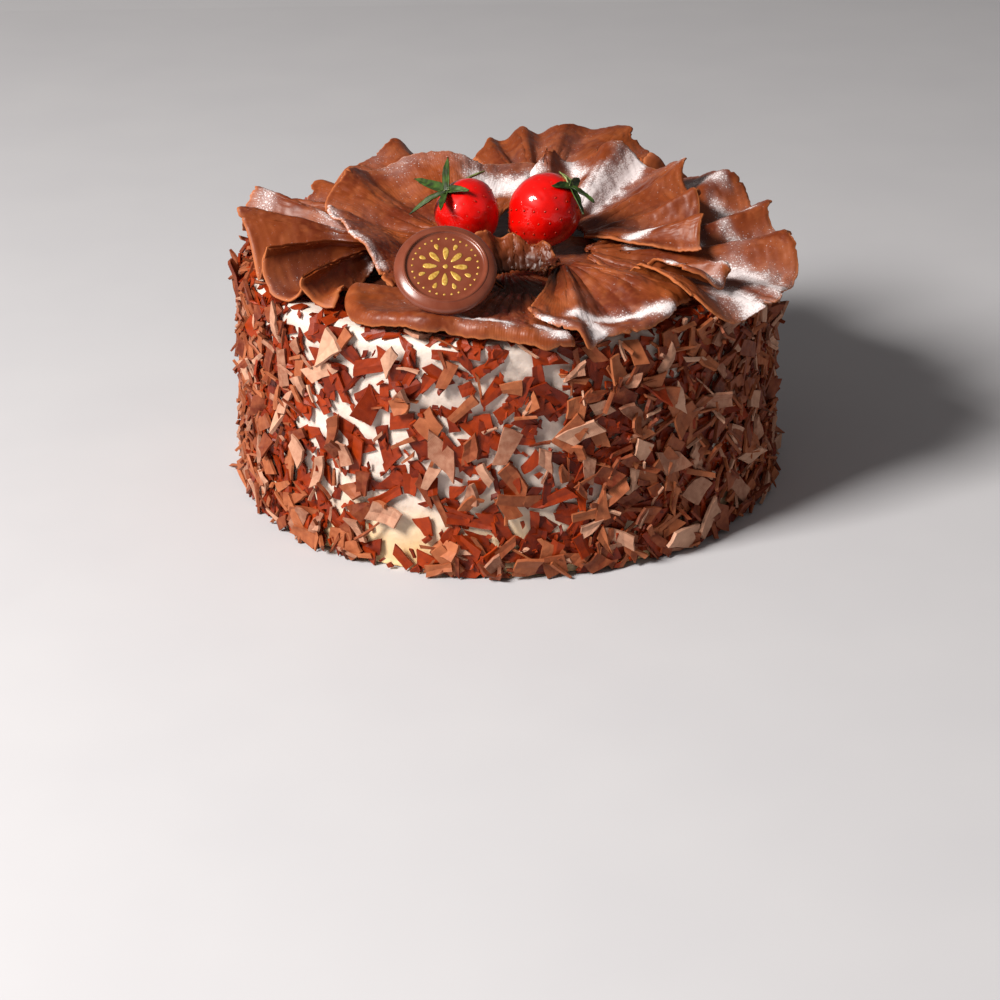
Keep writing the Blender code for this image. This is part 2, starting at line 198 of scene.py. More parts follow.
def thin_sheets(points, thickness):
    """Closed sheets from (batch, rows, columns, 3) points: each back is the grid, each front the
    grid plus its normal times the thickness, where the normal is the cross product of the two
    directions of the grid."""
    batch, rows, columns = points.shape[:3]
    normal = unit(np.cross(np.gradient(points, axis=1), np.gradient(points, axis=2)))
    front = points + normal * np.broadcast_to(thickness, points.shape[:3])[..., None]
    both = np.concatenate([front.reshape(batch, -1, 3), points.reshape(batch, -1, 3)], axis=1)
    one = rows * columns
    index = np.arange(one).reshape(rows, columns)
    quads = np.stack([index[:-1, :-1], index[1:, :-1], index[1:, 1:], index[:-1, 1:]], -1).reshape(-1, 4)
    rim = np.concatenate([index[:, 0], index[-1, 1:], index[-2::-1, -1], index[0, -2:0:-1]])
    after = np.roll(rim, -1)
    sides = np.stack([after, rim, rim + one, after + one], -1)
    faces = np.concatenate([quads, quads[:, ::-1] + one, sides])
    return both, [faces]


def skins(rings, low_pole, high_pole):
    """Closed skins from (batch, rings, steps, 3) points that run up from the low pole to the high
    one, each ring turning the same way, with a fan of triangles to the pole at each end."""
    batch, count, steps = rings.shape[:3]
    index = np.arange(count * steps).reshape(count, steps)
    beside = np.roll(index, -1, axis=1)
    quads = np.stack([index[:-1], beside[:-1], beside[1:], index[1:]], -1).reshape(-1, 4)
    low, high = count * steps, count * steps + 1
    fan_low = np.stack([np.full(steps, low), beside[0], index[0]], -1)
    fan_high = np.stack([np.full(steps, high), index[-1], beside[-1]], -1)
    points = np.concatenate([rings.reshape(batch, -1, 3), low_pole[:, None], high_pole[:, None]], axis=1)
    return points, [quads, np.concatenate([fan_low, fan_high])]


def piece(name, form, material, slot, nodes=(), flat=False, **attributes):
    """Makes one mesh of a batch of forms, with a value for each point in each named attribute."""
    points, groups = form
    batch, per_form = points.shape[:2]
    start = np.arange(batch)[:, None, None] * per_form
    groups = [(faces[None] + start).reshape(-1, faces.shape[1]) for faces in groups]
    corners = np.concatenate([faces.ravel() for faces in groups])
    totals = np.concatenate([np.full(len(faces), faces.shape[1]) for faces in groups])
    mesh = bpy.data.meshes.new(name)
    mesh.vertices.add(batch * per_form)
    mesh.vertices.foreach_set("co", points.reshape(-1).astype(np.float32))
    mesh.loops.add(len(corners))
    mesh.loops.foreach_set("vertex_index", corners.astype(np.int32))
    mesh.polygons.add(len(totals))
    mesh.polygons.foreach_set("loop_start", (np.cumsum(totals) - totals).astype(np.int32))
    mesh.polygons.foreach_set("use_smooth", np.full(len(totals), not flat))
    for key, values in attributes.items():
        layer = mesh.attributes.new(key, "FLOAT", "POINT")
        layer.data.foreach_set("value", np.ascontiguousarray(values, dtype=np.float32).reshape(-1))
    mesh.update(calc_edges=True)
    mesh.materials.append(material)
    made = show(name, mesh)
    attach(made, "root")
    if nodes:
        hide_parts(*nodes)
    print(name, int((totals - 2).sum()), "triangles")
    return made


# %% [markdown]
# Whipped cream scatters light under its surface, so it looks soft and has no deep shadows of its
# own. It is spread with a palette knife, which leaves shallow level strokes. Near its foot it has
# drawn a little fat and syrup from the sponge, and is yellower. Under the ruffles shade is painted on
# the flat top as a dark brown, so no white shows through the gaps between the sheets.

# %% Whipped cream material

# Below this height in m, and fully at the second, the cream is yellow
YELLOW_FROM, YELLOW_BY, YELLOW_RAGGED = 0.045, 0.012, 0.03


def whipped_cream():
    """Off-white dairy cream: matt, slightly translucent, yellower towards the foot."""
    made, tree, shader, place = start_material("whipped_cream")
    height = add(tree, "SeparateXYZ", [place], "Z")
    patches = add(tree, "TexNoise", {"Vector": place, "Scale": per_mm(18), "Detail": 3.0})
    level = add(tree, "Math", [patches, YELLOW_RAGGED, height], operation="MULTIPLY_ADD")
    low = add(tree, "MapRange", [level, YELLOW_FROM, YELLOW_BY])
    # Painted shade: the flat top under the ruffles is drawn dark brown by its own share
    strewn = add(tree, "Attribute", out="Fac", attribute_name="strewn")
    colour = add(tree, "Mix", {0: low, 6: "#d8cabf", 7: "#e2bf84"}, 2, data_type="RGBA")
    colour = add(tree, "Mix", {0: strewn, 6: colour, 7: "#4a200f"}, 2, data_type="RGBA")
    air = add(tree, "TexNoise", {"Vector": place, "Scale": per_mm(3.5), "Detail": 5.0})
    feed(tree, shader, {
        "Base Color": colour, "Roughness": 0.5, "Subsurface Weight": 0.2,
        "Subsurface Radius": (1.0, 0.8, 0.6), "Subsurface Scale": 1.5 * MM,
        "Normal": add(tree, "Bump", {"Strength": 0.5, "Distance": 1.0 * MM, "Height": air})})
    return made


CREAM = whipped_cream()
print("cream yellows below", YELLOW_FROM / MM, "mm")

# %% [markdown]
# Under the shavings the coat is a drum with a rounded top edge. As a grid it is a profile, from the
# middle of the base out, up the side and in over the top, turned right round. The knife's strokes are
# long noise round the drum and short noise up it, pushed in and out along the radius.

# %% Cream coat
BASE_RADIUS, TOP_RADIUS = 98.0, 95.5
TOP_ROUND, FOOT_ROUND = 5.0, 1.5
COAT_STEPS, SIDE_RINGS = 420, 62
# Radii in mm of the rings on the flat base and the flat top
BASE_RINGS, TOP_RINGS = np.linspace(8, 92, 12), np.linspace(88, 4, 30)
STROKE_DEPTH, STROKE_UP, STROKES_ROUND, TOP_STROKE = 1.1, 7, 3.2, 16
# Out to this radius in mm, fading over the second, shade is painted dark brown on the flat top under the
# ruffles
TOP_SHADE_RADIUS, TOP_SHADE_FADE = 84.0, 4


def coat_profile():
    """Radius and height in mm up the outside: a flat base, a rounded foot, a side that narrows
    evenly, a quarter round at the top edge and a flat top."""
    foot, edge = np.linspace(-math.pi / 2, 0, 5), np.linspace(0, math.pi / 2, 10)
    radius = np.concatenate([BASE_RINGS, BASE_RADIUS - FOOT_ROUND + FOOT_ROUND * np.cos(foot),
                             np.linspace(BASE_RADIUS, TOP_RADIUS, SIDE_RINGS)[1:-1],
                             TOP_RADIUS - TOP_ROUND + TOP_ROUND * np.cos(edge), TOP_RINGS])
    height = np.concatenate([0 * BASE_RINGS, FOOT_ROUND + FOOT_ROUND * np.sin(foot),
                             np.linspace(FOOT_ROUND, CAKE_TOP - TOP_ROUND, SIDE_RINGS)[1:-1],
                             CAKE_TOP - TOP_ROUND + TOP_ROUND * np.sin(edge), 0 * TOP_RINGS + CAKE_TOP])
    return radius, height


def side_radius(height_mm):
    """The cream's radius at a height, narrowing evenly from base to top."""
    return BASE_RADIUS + (TOP_RADIUS - BASE_RADIUS) * height_mm / CAKE_TOP


def cream_coat():
    """The profile turned round, with strokes: noise that is 30 mm long round the cake and 7 mm up
    it takes up to STROKE_DEPTH off the radius, and lowers the flat top as much."""
    radius, height = coat_profile()
    turn = np.linspace(0, 2 * np.pi, COAT_STEPS, endpoint=False)
    r, a = np.meshgrid(radius, turn, indexing="ij")
    z = np.repeat(height[:, None], COAT_STEPS, axis=1)
    along_x, along_y = np.cos(a) * STROKES_ROUND + 9, np.sin(a) * STROKES_ROUND
    strokes = rough(along_x, z / STROKE_UP + along_y, 11) * 0.5 - 0.5
    top = z > CAKE_TOP - 0.5
    r = np.where((z > 1) & (z < CAKE_TOP - 0.5), r + STROKE_DEPTH * strokes, r)
    swept = rough(r * np.cos(a) / TOP_STROKE, r * np.sin(a) / TOP_STROKE, 12) * 0.5 - 0.5
    z = np.where(top, z + STROKE_DEPTH * swept, z)
    rings = np.stack([r * np.cos(a), r * np.sin(a), z], -1)[None] * MM
    low, high = np.array([[0, 0, 0]]), np.array([[0, 0, rings[0, -1, :, 2].mean()]])
    # Painted shade on the flat top under the ruffles, out to a ragged radius
    inside = (TOP_SHADE_RADIUS - r + 3 * rough(a * 9, r / 4, 13)) / TOP_SHADE_FADE
    strewn = np.concatenate([(top * np.clip(inside, 0, 1)).reshape(-1), [0, 1]])
    return piece("cream_coat", skins(rings, low, high), CREAM, "flaked_cream", ["cake"], strewn=strewn)


cream_coat()

# %% [markdown]
# A ruffle is made by pushing a scraper over a thin layer of chocolate on a slab while a finger holds
# one end back: the sheet gathers under the finger and spreads into pleats at the other side. So each
# one is a fan. One direction of its grid runs out from the gather, the other round the turn, and the
# pleats are a wave round the turn that grows on the way out.

# %% Ruffle sizes
FINE_OUT, FINE_ROUND = 60, 156
FIELD_HALF = 130
SHEET = 1.4
REST_GAP = 1.2
SPREAD_OF_REST = 3
SMOOTHING, LAST_SMOOTHING = 50, 12
NO_SHEET = 99.0
RIM_REACH, RIM_CLEAR, FAR_BELOW = 97.0, 104.0, -40.0
ROLL_START, ROLL_BACK_PER_MM = 0.86, 0.01
RISE_POWER = 1.2
PLEAT_DRIFT, PLEAT_DRIFT_TURNS = 0.7, 1.3
PLEAT_OVERTONE = 0.22
PLEAT_LEAN, PLEAT_LEAN_RADIUS = 0.55, 12.0
PLEAT_AT_GATHER, PLEAT_GROWTH = 0.12, 0.9
REACH_WAVER, REACH_WAVER_PACE = 0.02, 1.5

# In mm and degrees, from the lowest ruffle to the top one: where it is gathered, how wide the gather
# is, the turn it spreads over, then evenly over that turn its reach, the lift of its edge and the
# depth of its pleats. Bow arches it, roll turns its last part down.
RUFFLES = {
    "ruffle_middle": dict(
        gather=(0, -30, 1), inner=3, turn=(98, 450), reach=(40, 44, 41, 44, 42), lift=(2, 1.5, 2, 1.5, 2),
        depth=(0.5, 0.7, 0.5), pleats=9, phase=0.1, bow=0, roll=0),
    "ruffle_back": dict(
        gather=(12, 36, 3), inner=5, turn=(36, 122), reach=(57, 69, 61, 58, 48), lift=(7, 15, 15, 14, 9),
        depth=(1, 1.8, 1.8), pleats=4.6, phase=0.1, bow=2, roll=0),
    "ruffle_back_left": dict(
        gather=(-24, 36, 3), inner=5, turn=(92, 150), reach=(45, 52, 51, 48, 44), lift=(5, 11, 14, 10, 6),
        depth=(2, 2.5, 2), pleats=1.8, phase=0.6, bow=2, roll=0),
    "ruffle_far_left": dict(
        gather=(-34, 12, 3), inner=5, turn=(112, 190), reach=(52, 54, 53, 52, 50), lift=(8, 7, 5, 6, 7),
        depth=(3, 3, 3), pleats=3.6, phase=0.2, bow=2, roll=0),
    "ruffle_back_right": dict(
        gather=(34, 20, 3), inner=5, turn=(2, 66), reach=(58, 58, 58), lift=(4, 4, 5),
        depth=(2.5, 2.5, 2.5), pleats=2.7, phase=0.0, bow=1, roll=0),
    "ruffle_front_left": dict(
        gather=(4, -52, 5), inner=14, turn=(186, 292), reach=(61, 63, 55, 48, 49, 51),
        lift=(8, 8, 9, 8, 6, 4), depth=(2, 0.5, 0.8), pleats=2.5, phase=0.3, bow=-2, roll=6),
    "ruffle_left": dict(
        gather=(-40, -12, 5), inner=6, turn=(150, 252), reach=(60, 57, 53, 56, 60),
        lift=(15, 15, 10, 6, 1), depth=(4, 8, 10, 7), pleats=3.6, phase=0.05, bow=2, roll=0),
    "ruffle_front": dict(
        gather=(19, -44, 9), inner=6, turn=(-107, -22), reach=(44, 56, 55, 52, 52, 50),
        lift=(2, -3, -3, 1, 2, 6), depth=(1.5, 4, 3.2), pleats=2.0, phase=0.66, bow=2, roll=4),
    "ruffle_right": dict(
        gather=(26, -26, 6), inner=6, turn=(-55, 62), reach=(56, 72, 77, 78, 78, 85, 87),
        lift=(3, -6, 2, 9, 10, 13, 12), depth=(2.5, 4.6, 4.8, 4.8), pleats=4.6, phase=0.15, bow=-3,
        roll=0),
    "ruffle_fold": dict(
        gather=(46, -45, 7), inner=5, turn=(-50, -2), reach=(24, 32, 34, 31), lift=(9, 9, 10, 9),
        depth=(2, 3, 2), pleats=1.6, phase=0.2, bow=1, roll=3),
    "ruffle_inner_left": dict(
        gather=(-13, -8, 6), inner=14, turn=(64, 240), reach=(64, 52, 62, 60, 49, 45, 50),
        lift=(15, 21, 20, 14, 10, 7, 3), depth=(2, 3, 2.6), pleats=4.4, phase=0.35, bow=-2, roll=0),
    "ruffle_inner_right": dict(
        gather=(15, -8, 6), inner=15, turn=(-28, 98), reach=(62, 55, 60, 68, 64, 48),
        lift=(15, 17, 19, 19, 21, 18), depth=(4.2, 4.8, 4.2), pleats=4.8, phase=0.8, bow=-2, roll=0),
    "ruffle_curl": dict(
        gather=(5, -49, 5), inner=10, turn=(-50, 236), reach=(13, 14, 15, 20, 25),
        lift=(7, 13, 16, 20, 20), depth=(1, 1.6, 1), pleats=6.4, phase=0.1, bow=1, roll=0),
}
print(len(RUFFLES), "ruffles")

# %% The form of a ruffle


def along(values, t):
    """A smooth run through evenly spaced values as t goes from 0 to 1, cubic between each two."""
    values = np.array(values, dtype=float)
    before, after = 2 * values[0] - values[1], 2 * values[-1] - values[-2]
    knots = np.concatenate([[before], values, [after]])
    place = t * (len(values) - 1)
    i = np.minimum(place.astype(int), len(values) - 2)
    f = place - i
    a, b, c, d = knots[i], knots[i + 1], knots[i + 2], knots[i + 3]
    return b + f * (c - a + f * (2 * a - 5 * b + 4 * c - d + f * (3 * b - a - 3 * c + d))) / 2


def ruffle_form(ruffle, s, t):
    """Points in mm over the cake's top, for s outwards and t round the turn. The way out is the
    gather's radius plus the reach times s, the height is the lift times s to a power plus the pleats,
    a wave in t whose depth grows with s. Also gives the wave itself."""
    start, end = np.radians(ruffle["turn"])
    swing = 2 * np.pi * (ruffle["pleats"] * t + ruffle["phase"])
    swing = swing + PLEAT_DRIFT * np.sin(2 * np.pi * (PLEAT_DRIFT_TURNS * t + ruffle["phase"]))
    wave = np.sin(swing) + PLEAT_OVERTONE * np.sin(2 * swing + 1)
    depth = along(ruffle["depth"], t) * (PLEAT_AT_GATHER + (1 - PLEAT_AT_GATHER) * s ** PLEAT_GROWTH)
    reach = along(ruffle["reach"], t) * (1 + REACH_WAVER * np.sin(REACH_WAVER_PACE * swing + 2))
    rolled = np.clip((s - ROLL_START) / (1 - ROLL_START), 0, 1) ** 2 * ruffle["roll"]
    out = ruffle["inner"] + (reach - ruffle["inner"]) * (s - ROLL_BACK_PER_MM * rolled)
    lean = PLEAT_LEAN * depth / np.maximum(out, PLEAT_LEAN_RADIUS) * np.cos(swing)
    angle = start + (end - start) * t + lean
    gx, gy, gz = ruffle["gather"]
    height = gz + (along(ruffle["lift"], t) - gz) * s ** RISE_POWER
    height = height + ruffle["bow"] * np.sin(np.pi * s) + depth * wave - rolled
    return gx + out * np.cos(angle), gy + out * np.sin(angle), height, wave


# %% [markdown]
# The ruffles lie on the cream and on each other. A field of heights, one cell to the millimetre,
# holds the top of what is already there. Each ruffle is laid over it in turn: wherever it would cut
# in, it is lifted clear, and its neighbouring points are lifted with it, as a stiff sheet would be.

# %% Lay the ruffles


def neighbours(field):
    """The four fields that hold each cell's neighbours, with the rim repeated."""
    padded = np.pad(field, 1, mode="edge")
    return padded[2:, 1:-1], padded[:-2, 1:-1], padded[1:-1, 2:], padded[1:-1, :-2]


def grown(field, cells):
    """The field with each cell raised to the highest value within that many cells of it."""
    for _ in range(cells):
        field = np.maximum.reduce([field, *neighbours(field)])
    return field


def blurred(field):
    """Each cell becomes a third of itself and a sixth of each of its four neighbours."""
    return (sum(neighbours(field)) + 2 * field) / 6


def bare_top():
    """Height over the cake's top of what can carry a ruffle: the cream, falling away past its rim."""
    line = np.arange(-FIELD_HALF, FIELD_HALF + 1, dtype=float)
    x, y = np.meshgrid(line, line, indexing="ij")
    past = np.clip((np.hypot(x, y) - RIM_REACH) / (RIM_CLEAR - RIM_REACH), 0, 1)
    return FAR_BELOW * past ** 1.5


def cell_of(values):
    """The cell of the field that holds each coordinate."""
    return np.clip(np.rint(values + FIELD_HALF).astype(int), 0, 2 * FIELD_HALF)


def lay_lifts():
    """How far each point of each ruffle is lifted to clear what is under it, and the lowest sheet
    over each cell, which the shavings on the rim keep clear of."""
    s, t = np.meshgrid(np.linspace(0, 1, FINE_OUT + 1), np.linspace(0, 1, FINE_ROUND + 1), indexing="ij")
    under = bare_top()
    lowest = np.full(under.shape, NO_SHEET)
    lifts = {}
    for name, ruffle in RUFFLES.items():
        x, y, z, _ = ruffle_form(ruffle, s, t)
        short = grown(under, SPREAD_OF_REST)[cell_of(x), cell_of(y)] + REST_GAP - z
        lift = np.maximum(short, 0)
        for _ in range(SMOOTHING):
            lift = np.maximum(short, blurred(lift))
        lift = np.maximum(lift, 0)
        np.maximum.at(under, (cell_of(x), cell_of(y)), z + lift + SHEET)
        np.minimum.at(lowest, (cell_of(x), cell_of(y)), z + lift)
        for _ in range(LAST_SMOOTHING):
            lift = blurred(lift)
        lifts[name] = lift
    return lifts, lowest


LIFTS, LOWEST_SHEET = lay_lifts()
print("largest lift", round(max(lift.max() for lift in LIFTS.values()), 1), "mm")

# %% [markdown]
# Icing sugar was shaken over the ruffles after they were laid. It lies thinly everywhere that faces
# up, thickly in the pleats' valleys, and in a few drifts. Each drift is a short line on the cake, seen
# from above, and its sugar falls off with the distance from it.

# %% Sugar drifts
# From, to and half width in mm over the cake, and how thick, from 0 to 1
DRIFTS = [
    ((30, 22), (51, 49), 5.5, 1.0), ((-8, 34), (8, 37), 6.5, 1.0), ((-50, 46), (-14, 44), 6.0, 0.3),
    ((-66, 2), (-56, -26), 3.0, 0.5), ((-56, -20), (-44, -39), 2.4, 0.55), ((70, 33), (80, 30), 4.5, 0.75),
    ((78, 19), (90, 4), 3.2, 0.65), ((80, -6), (99, -20), 2.8, 0.75), ((56, -57), (70, -62), 2.0, 0.75),
    ((80, -38), (98, -52), 7.5, 0.8), ((76, -56), (92, -68), 5.5, 0.85), ((44, -20), (70, -12), 2.0, 0.95),
    ((23, -85), (36, -81), 3.0, 1.0), ((36, -81), (57, -77), 2.4, 0.9), ((29, -88), (31, -99), 4.0, 1.0),
    ((12, -94), (18, -98), 2.8, 0.9), ((-16, -88), (0, -93), 2.0, 0.8), ((25, 48), (30, 41), 4.0, 0.75),
    ((-92, -2), (-86, 12), 4.5, 0.5), ((86, -20), (100, -10), 7.0, 0.35),
]
RAGGED_SHARE, RAGGED_SIZE = 0.35, 5


def drift_depth(x, y):
    """The thickest drift at each point: thickness times e to the minus square of the distance from
    the drift's line over its half width, which noise makes ragged."""
    depth = np.zeros_like(x)
    ragged = 1 + RAGGED_SHARE * rough(x / RAGGED_SIZE, y / RAGGED_SIZE, 71)
    for (ax, ay), (bx, by), half, thick in DRIFTS:
        share = ((x - ax) * (bx - ax) + (y - ay) * (by - ay)) / ((bx - ax) ** 2 + (by - ay) ** 2)
        share = np.clip(share, 0, 1)
        away = np.hypot(x - ax - share * (bx - ax), y - ay - share * (by - ay))
        depth = np.maximum(depth, thick * np.exp(-(away / half / ragged) ** 2))
    return depth


print(len(DRIFTS), "drifts, deepest", round(float(drift_depth(np.array([40.]), np.array([22.]))[0]), 2))

# %% [markdown]
# Milk chocolate scraped cold off a slab has a satin face with fine lines along the scraper's way,
# and a paler, crumbly edge where it tore; that pale edge band is also a painted highlight where the
# thin edge catches the light. The sheet carries three values at each point: how torn and edge-lit it
# is, how much sugar lies there, which goes below zero where shade is painted into the hollow, and how
# far round the scraper had come, in millimetres, which the fine lines follow. The sugar is drawn as
# grains: fine noise, cut off at a height that falls as the sugar gets deeper, over a thin grey haze.

# %% Ruffle chocolate material
LINE_PITCH = 1.1
# Real icing sugar is some twenty times finer, but its grains would then not show
GRAIN_WIDTH = 0.6


def ruffle_chocolate():
    """Scraped milk chocolate: satin in two browns, paler along the edge where it tore and where a
    highlight is painted, with shade painted near black in the hollow, and white where icing sugar lies,
    each laid over the one before by its own share."""
    made, tree, shader, place = start_material("scraped_milk_chocolate")
    torn, dust, scrape = (add(tree, "Attribute", out="Fac", attribute_name=name)
                          for name in ("torn", "dust", "scrape"))
    clouds = add(tree, "TexNoise", {"Vector": place, "Scale": per_mm(20), "Detail": 4.0})
    specks = add(tree, "TexNoise", {"Vector": place, "Scale": per_mm(2.0), "Detail": 3.0})
    grains = add(tree, "TexNoise", {"Vector": place, "Scale": per_mm(GRAIN_WIDTH), "Detail": 2.0,
                                    "Roughness": 0.7})
    above = add(tree, "Math", [grains, add(tree, "MapRange", [dust, 0, 1, 0.71, 0.3])],
                operation="SUBTRACT")
    cover = add(tree, "MapRange", [above, 0.0, 0.09])
    thick = add(tree, "Math", [add(tree, "MapRange", [dust, 0, 1]), 1.8], operation="POWER")
    haze = add(tree, "Math", [thick, 0.85], operation="MULTIPLY")
    sugar = add(tree, "Math", [cover, 0.92], operation="MULTIPLY")
    sugar = add(tree, "Math", [sugar, haze], operation="MAXIMUM")
    body = "#642710"
    for share, colour in (
            (add(tree, "MapRange", [clouds, 0.36, 0.66]), "#8a421b"),
            (add(tree, "MapRange", [specks, 0.55, 0.75, 0, 0.3]), "#9c5229"),
            # Partly real, partly painted highlight: the edge band is drawn paler for the crumbly tear and
            # for the light the thin edge catches
            (add(tree, "Math", [torn, 0.7], operation="MULTIPLY"), "#bc6c3a"),
            # Painted shade: where the sugar value falls below zero, in the hollow, the chocolate is drawn
            # near black
            (add(tree, "MapRange", [dust, 0.0, -0.8]), "#140804"), (sugar, "#ece5e6")):
        body = add(tree, "Mix", {0: share, 6: body, 7: colour}, 2, data_type="RGBA")
    matt = [add(tree, "MapRange", [sugar, 0, 0.6, 0.4, 0.9]), add(tree, "MapRange", [torn, 0, 1, 0.4, 0.7])]
    lines = add(tree, "Math", [scrape, 2 * math.pi / LINE_PITCH], operation="MULTIPLY")
    lines = add(tree, "Math", [add(tree, "Math", [lines], operation="SINE"),
                               add(tree, "MapRange", [clouds, 0.4, 0.6, 0.0, 0.14])], operation="MULTIPLY")
    wear = add(tree, "Math", [specks, 0.6, lines], operation="MULTIPLY_ADD")
    wear = add(tree, "Math", [cover, 0.6, wear], operation="MULTIPLY_ADD")
    feed(tree, shader, {
        "Base Color": body, "Roughness": add(tree, "Math", matt, operation="MAXIMUM"),
        "Specular IOR Level": 0.32,
        "Normal": add(tree, "Bump", {"Strength": 0.45, "Distance": 0.25 * MM, "Height": wear})})
    return made


RUFFLE_CHOCOLATE = ruffle_chocolate()
print("ruffle material has", len(RUFFLE_CHOCOLATE.node_tree.nodes), "nodes")

# %% [markdown]
# On top of the fan's own pleats a real sheet has small creases near the gather, soft dents all
# over, a fluttering edge, and notches where it tore off the slab. They are added in millimetres, on a
# grid fine enough to hold them, and the laying above is carried over by blending its lifts. A real
# tear is smooth for a while and then breaks: its depth is broad noise, fine noise, and now and then
# a deep nick where a third noise is high.

# %% Ruffle pieces
# Steps of the grid out and round in mm, the least counts, and how the rows crowd towards the edge
ROW_STEP, COLUMN_STEP, LEAST_ROWS, LEAST_COLUMNS, CROWDING = 1.0, 0.55, 20, 60, 1.25
# A sheet's arc is this share of its turn times its reach, and it has its full relief from FULL_REACH
ARC_SHARE, FULL_REACH = 0.85, 40
RUFFLE_THICKNESS, EDGE_THINNING, THICKNESS_WAVER = 1.15, 0.55, 0.12
# First the width in mm of the pale edge band, which stands partly for the tear and partly for a painted
# highlight
EDGE_BAND_WIDTH, TORN_PATCHES, LEAST_TEAR = 0.9, 0.3, 0.75
# The powers of s and t that keep a tear to the last part of the rim and of the two ends
RIM_ONLY, ENDS_ONLY = 10, 16
# Heights in mm, and the sizes over which they change
CREASE, CREASES_PER_PLEAT, STREAK = 0.5, 3.7, 0.25
DENT, DENT_SIZE, GRIT, GRIT_SIZE, FLUTTER, FLUTTER_SIZE = 0.35, 9, 0.12, 2.2, 0.5, 9
BASE_DUST, DUST_WAVER, DUST_WAVER_SIZE, DUST_IN_VALLEYS = 0.05, 0.1, 12, 0.06
# How crumpled the small sheets round the hollow are, in mm
CRUMPLED = {"ruffle_curl": 0.22, "ruffle_fold": 0.12}
# How much of the usual tear the calmer edges have
TORN_SHARE = {"ruffle_front_left": 0.3, "ruffle_left": 0.5, "ruffle_fold": 0.5}
# The hollow in the middle of the front, in mm over the cake: it gets no sugar, and its deep shade is
# painted in dark
HOLLOW, HOLLOW_RADIUS, HOLLOW_TOP, HOLLOW_FADE = (4, -53), 17.0, 16.0, 7


def torn_depth(place_mm, seed):
    """How far in from its full size a torn edge lies, in mm: broad waves, fine teeth, rare nicks."""
    still = np.zeros_like(place_mm)
    broad = 0.9 * (1 + rough(place_mm / 13, still, seed, 2))
    fine = 0.5 * np.abs(rough(place_mm / 2.4, still, seed + 1, 4))
    nicks = 8 * np.clip(rough(place_mm / 5.5, still, seed + 2, 4) - 0.75, 0, 0.4)
    return np.maximum(broad + fine + nicks, 0)


def carried(lift, s, t):
    """The coarse lifts blended onto a finer grid, first along s and then along t."""
    place, spot = (np.clip(share, 0, 1) * (count - 1) for share, count in zip((s, t), lift.shape))
    i = np.minimum(place.astype(int), lift.shape[0] - 2)
    j = np.minimum(spot.astype(int), lift.shape[1] - 2)
    f, g = place - i, spot - j
    low = lift[i, j] * (1 - f) + lift[i + 1, j] * f
    high = lift[i, j + 1] * (1 - f) + lift[i + 1, j + 1] * f
    return low * (1 - g) + high * g


def ruffle_grid(name, ruffle, seed):
    """The ruffle's own form on a fine grid, with its edges pulled in by the tears, and with creases,
    streaks, dents, grit and flutter added to its height in mm."""
    reach = max(ruffle["reach"])
    arc = math.radians(ruffle["turn"][1] - ruffle["turn"][0]) * reach * ARC_SHARE
    size = min(reach / FULL_REACH, 1)
    tear = max(size, LEAST_TEAR) * TORN_SHARE.get(name, 1.0)
    rows, columns = max(int(reach / ROW_STEP), LEAST_ROWS), max(int(arc / COLUMN_STEP), LEAST_COLUMNS)
    outwards = 1 - np.linspace(1, 0, rows) ** CROWDING
    s, t = np.meshgrid(outwards, np.linspace(0, 1, columns), indexing="ij")
    round_mm, out_mm = t * arc, s * reach
    out = s - torn_depth(round_mm, seed) * tear / reach * s ** RIM_ONLY
    turn = t + torn_depth(out_mm, seed + 3) * tear / arc * (1 - t) ** ENDS_ONLY
    turn = turn - torn_depth(out_mm, seed + 6) * tear / arc * t ** ENDS_ONLY
    x, y, z, wave = ruffle_form(ruffle, out, turn)
    swing = ruffle["pleats"] * CREASES_PER_PLEAT * t + 0.3 * rough(out_mm / 30, t * 4, seed)
    z = z + CREASE * size * np.sin(2 * np.pi * swing) * (1 - s) ** 1.5
    z = z + STREAK * size * rough(round_mm / 3, out_mm / 14, seed + 9)
    z = z + DENT * rough(x / DENT_SIZE, y / DENT_SIZE, seed + 4)
    z = z + GRIT * rough(x / GRIT_SIZE, y / GRIT_SIZE, seed + 5)
    z = z + FLUTTER * size * s ** 7 * rough(round_mm / FLUTTER_SIZE, s * 2, seed + 6)
    crumple = CRUMPLED.get(name, 0.0)
    z = z + crumple * rough(round_mm / 3.5, out_mm / 3, seed + 10)
    x = x + crumple * rough(round_mm / 3, out_mm / 3.5, seed + 11)
    y = y + crumple * rough(round_mm / 3, out_mm / 3.5, seed + 12)
    z = z + carried(LIFTS[name], out, turn)
    points = np.stack([x * MM, y * MM, CAKE_HEIGHT + z * MM], -1)
    edge_mm = np.minimum(np.minimum((1 - s) * reach, t * arc), (1 - t) * arc)
    # The edge band thins the sheet and is drawn paler, partly for the tear and partly as a painted
    # highlight
    torn = np.exp(-(edge_mm / EDGE_BAND_WIDTH) ** 2)
    uneven = THICKNESS_WAVER * rough(round_mm / 2, out_mm / 2, seed + 7)
    thick = (RUFFLE_THICKNESS - EDGE_THINNING * torn + uneven) * MM
    torn = torn + TORN_PATCHES * np.clip(rough(round_mm / 4, out_mm / 4, seed + 8), 0, 1)
    scrape = round_mm + 0.5 * rough(out_mm / 9, t, seed)
    return points, thick, np.clip(torn, 0, 1), sugar_depth(points, x, y, z, wave * s), scrape


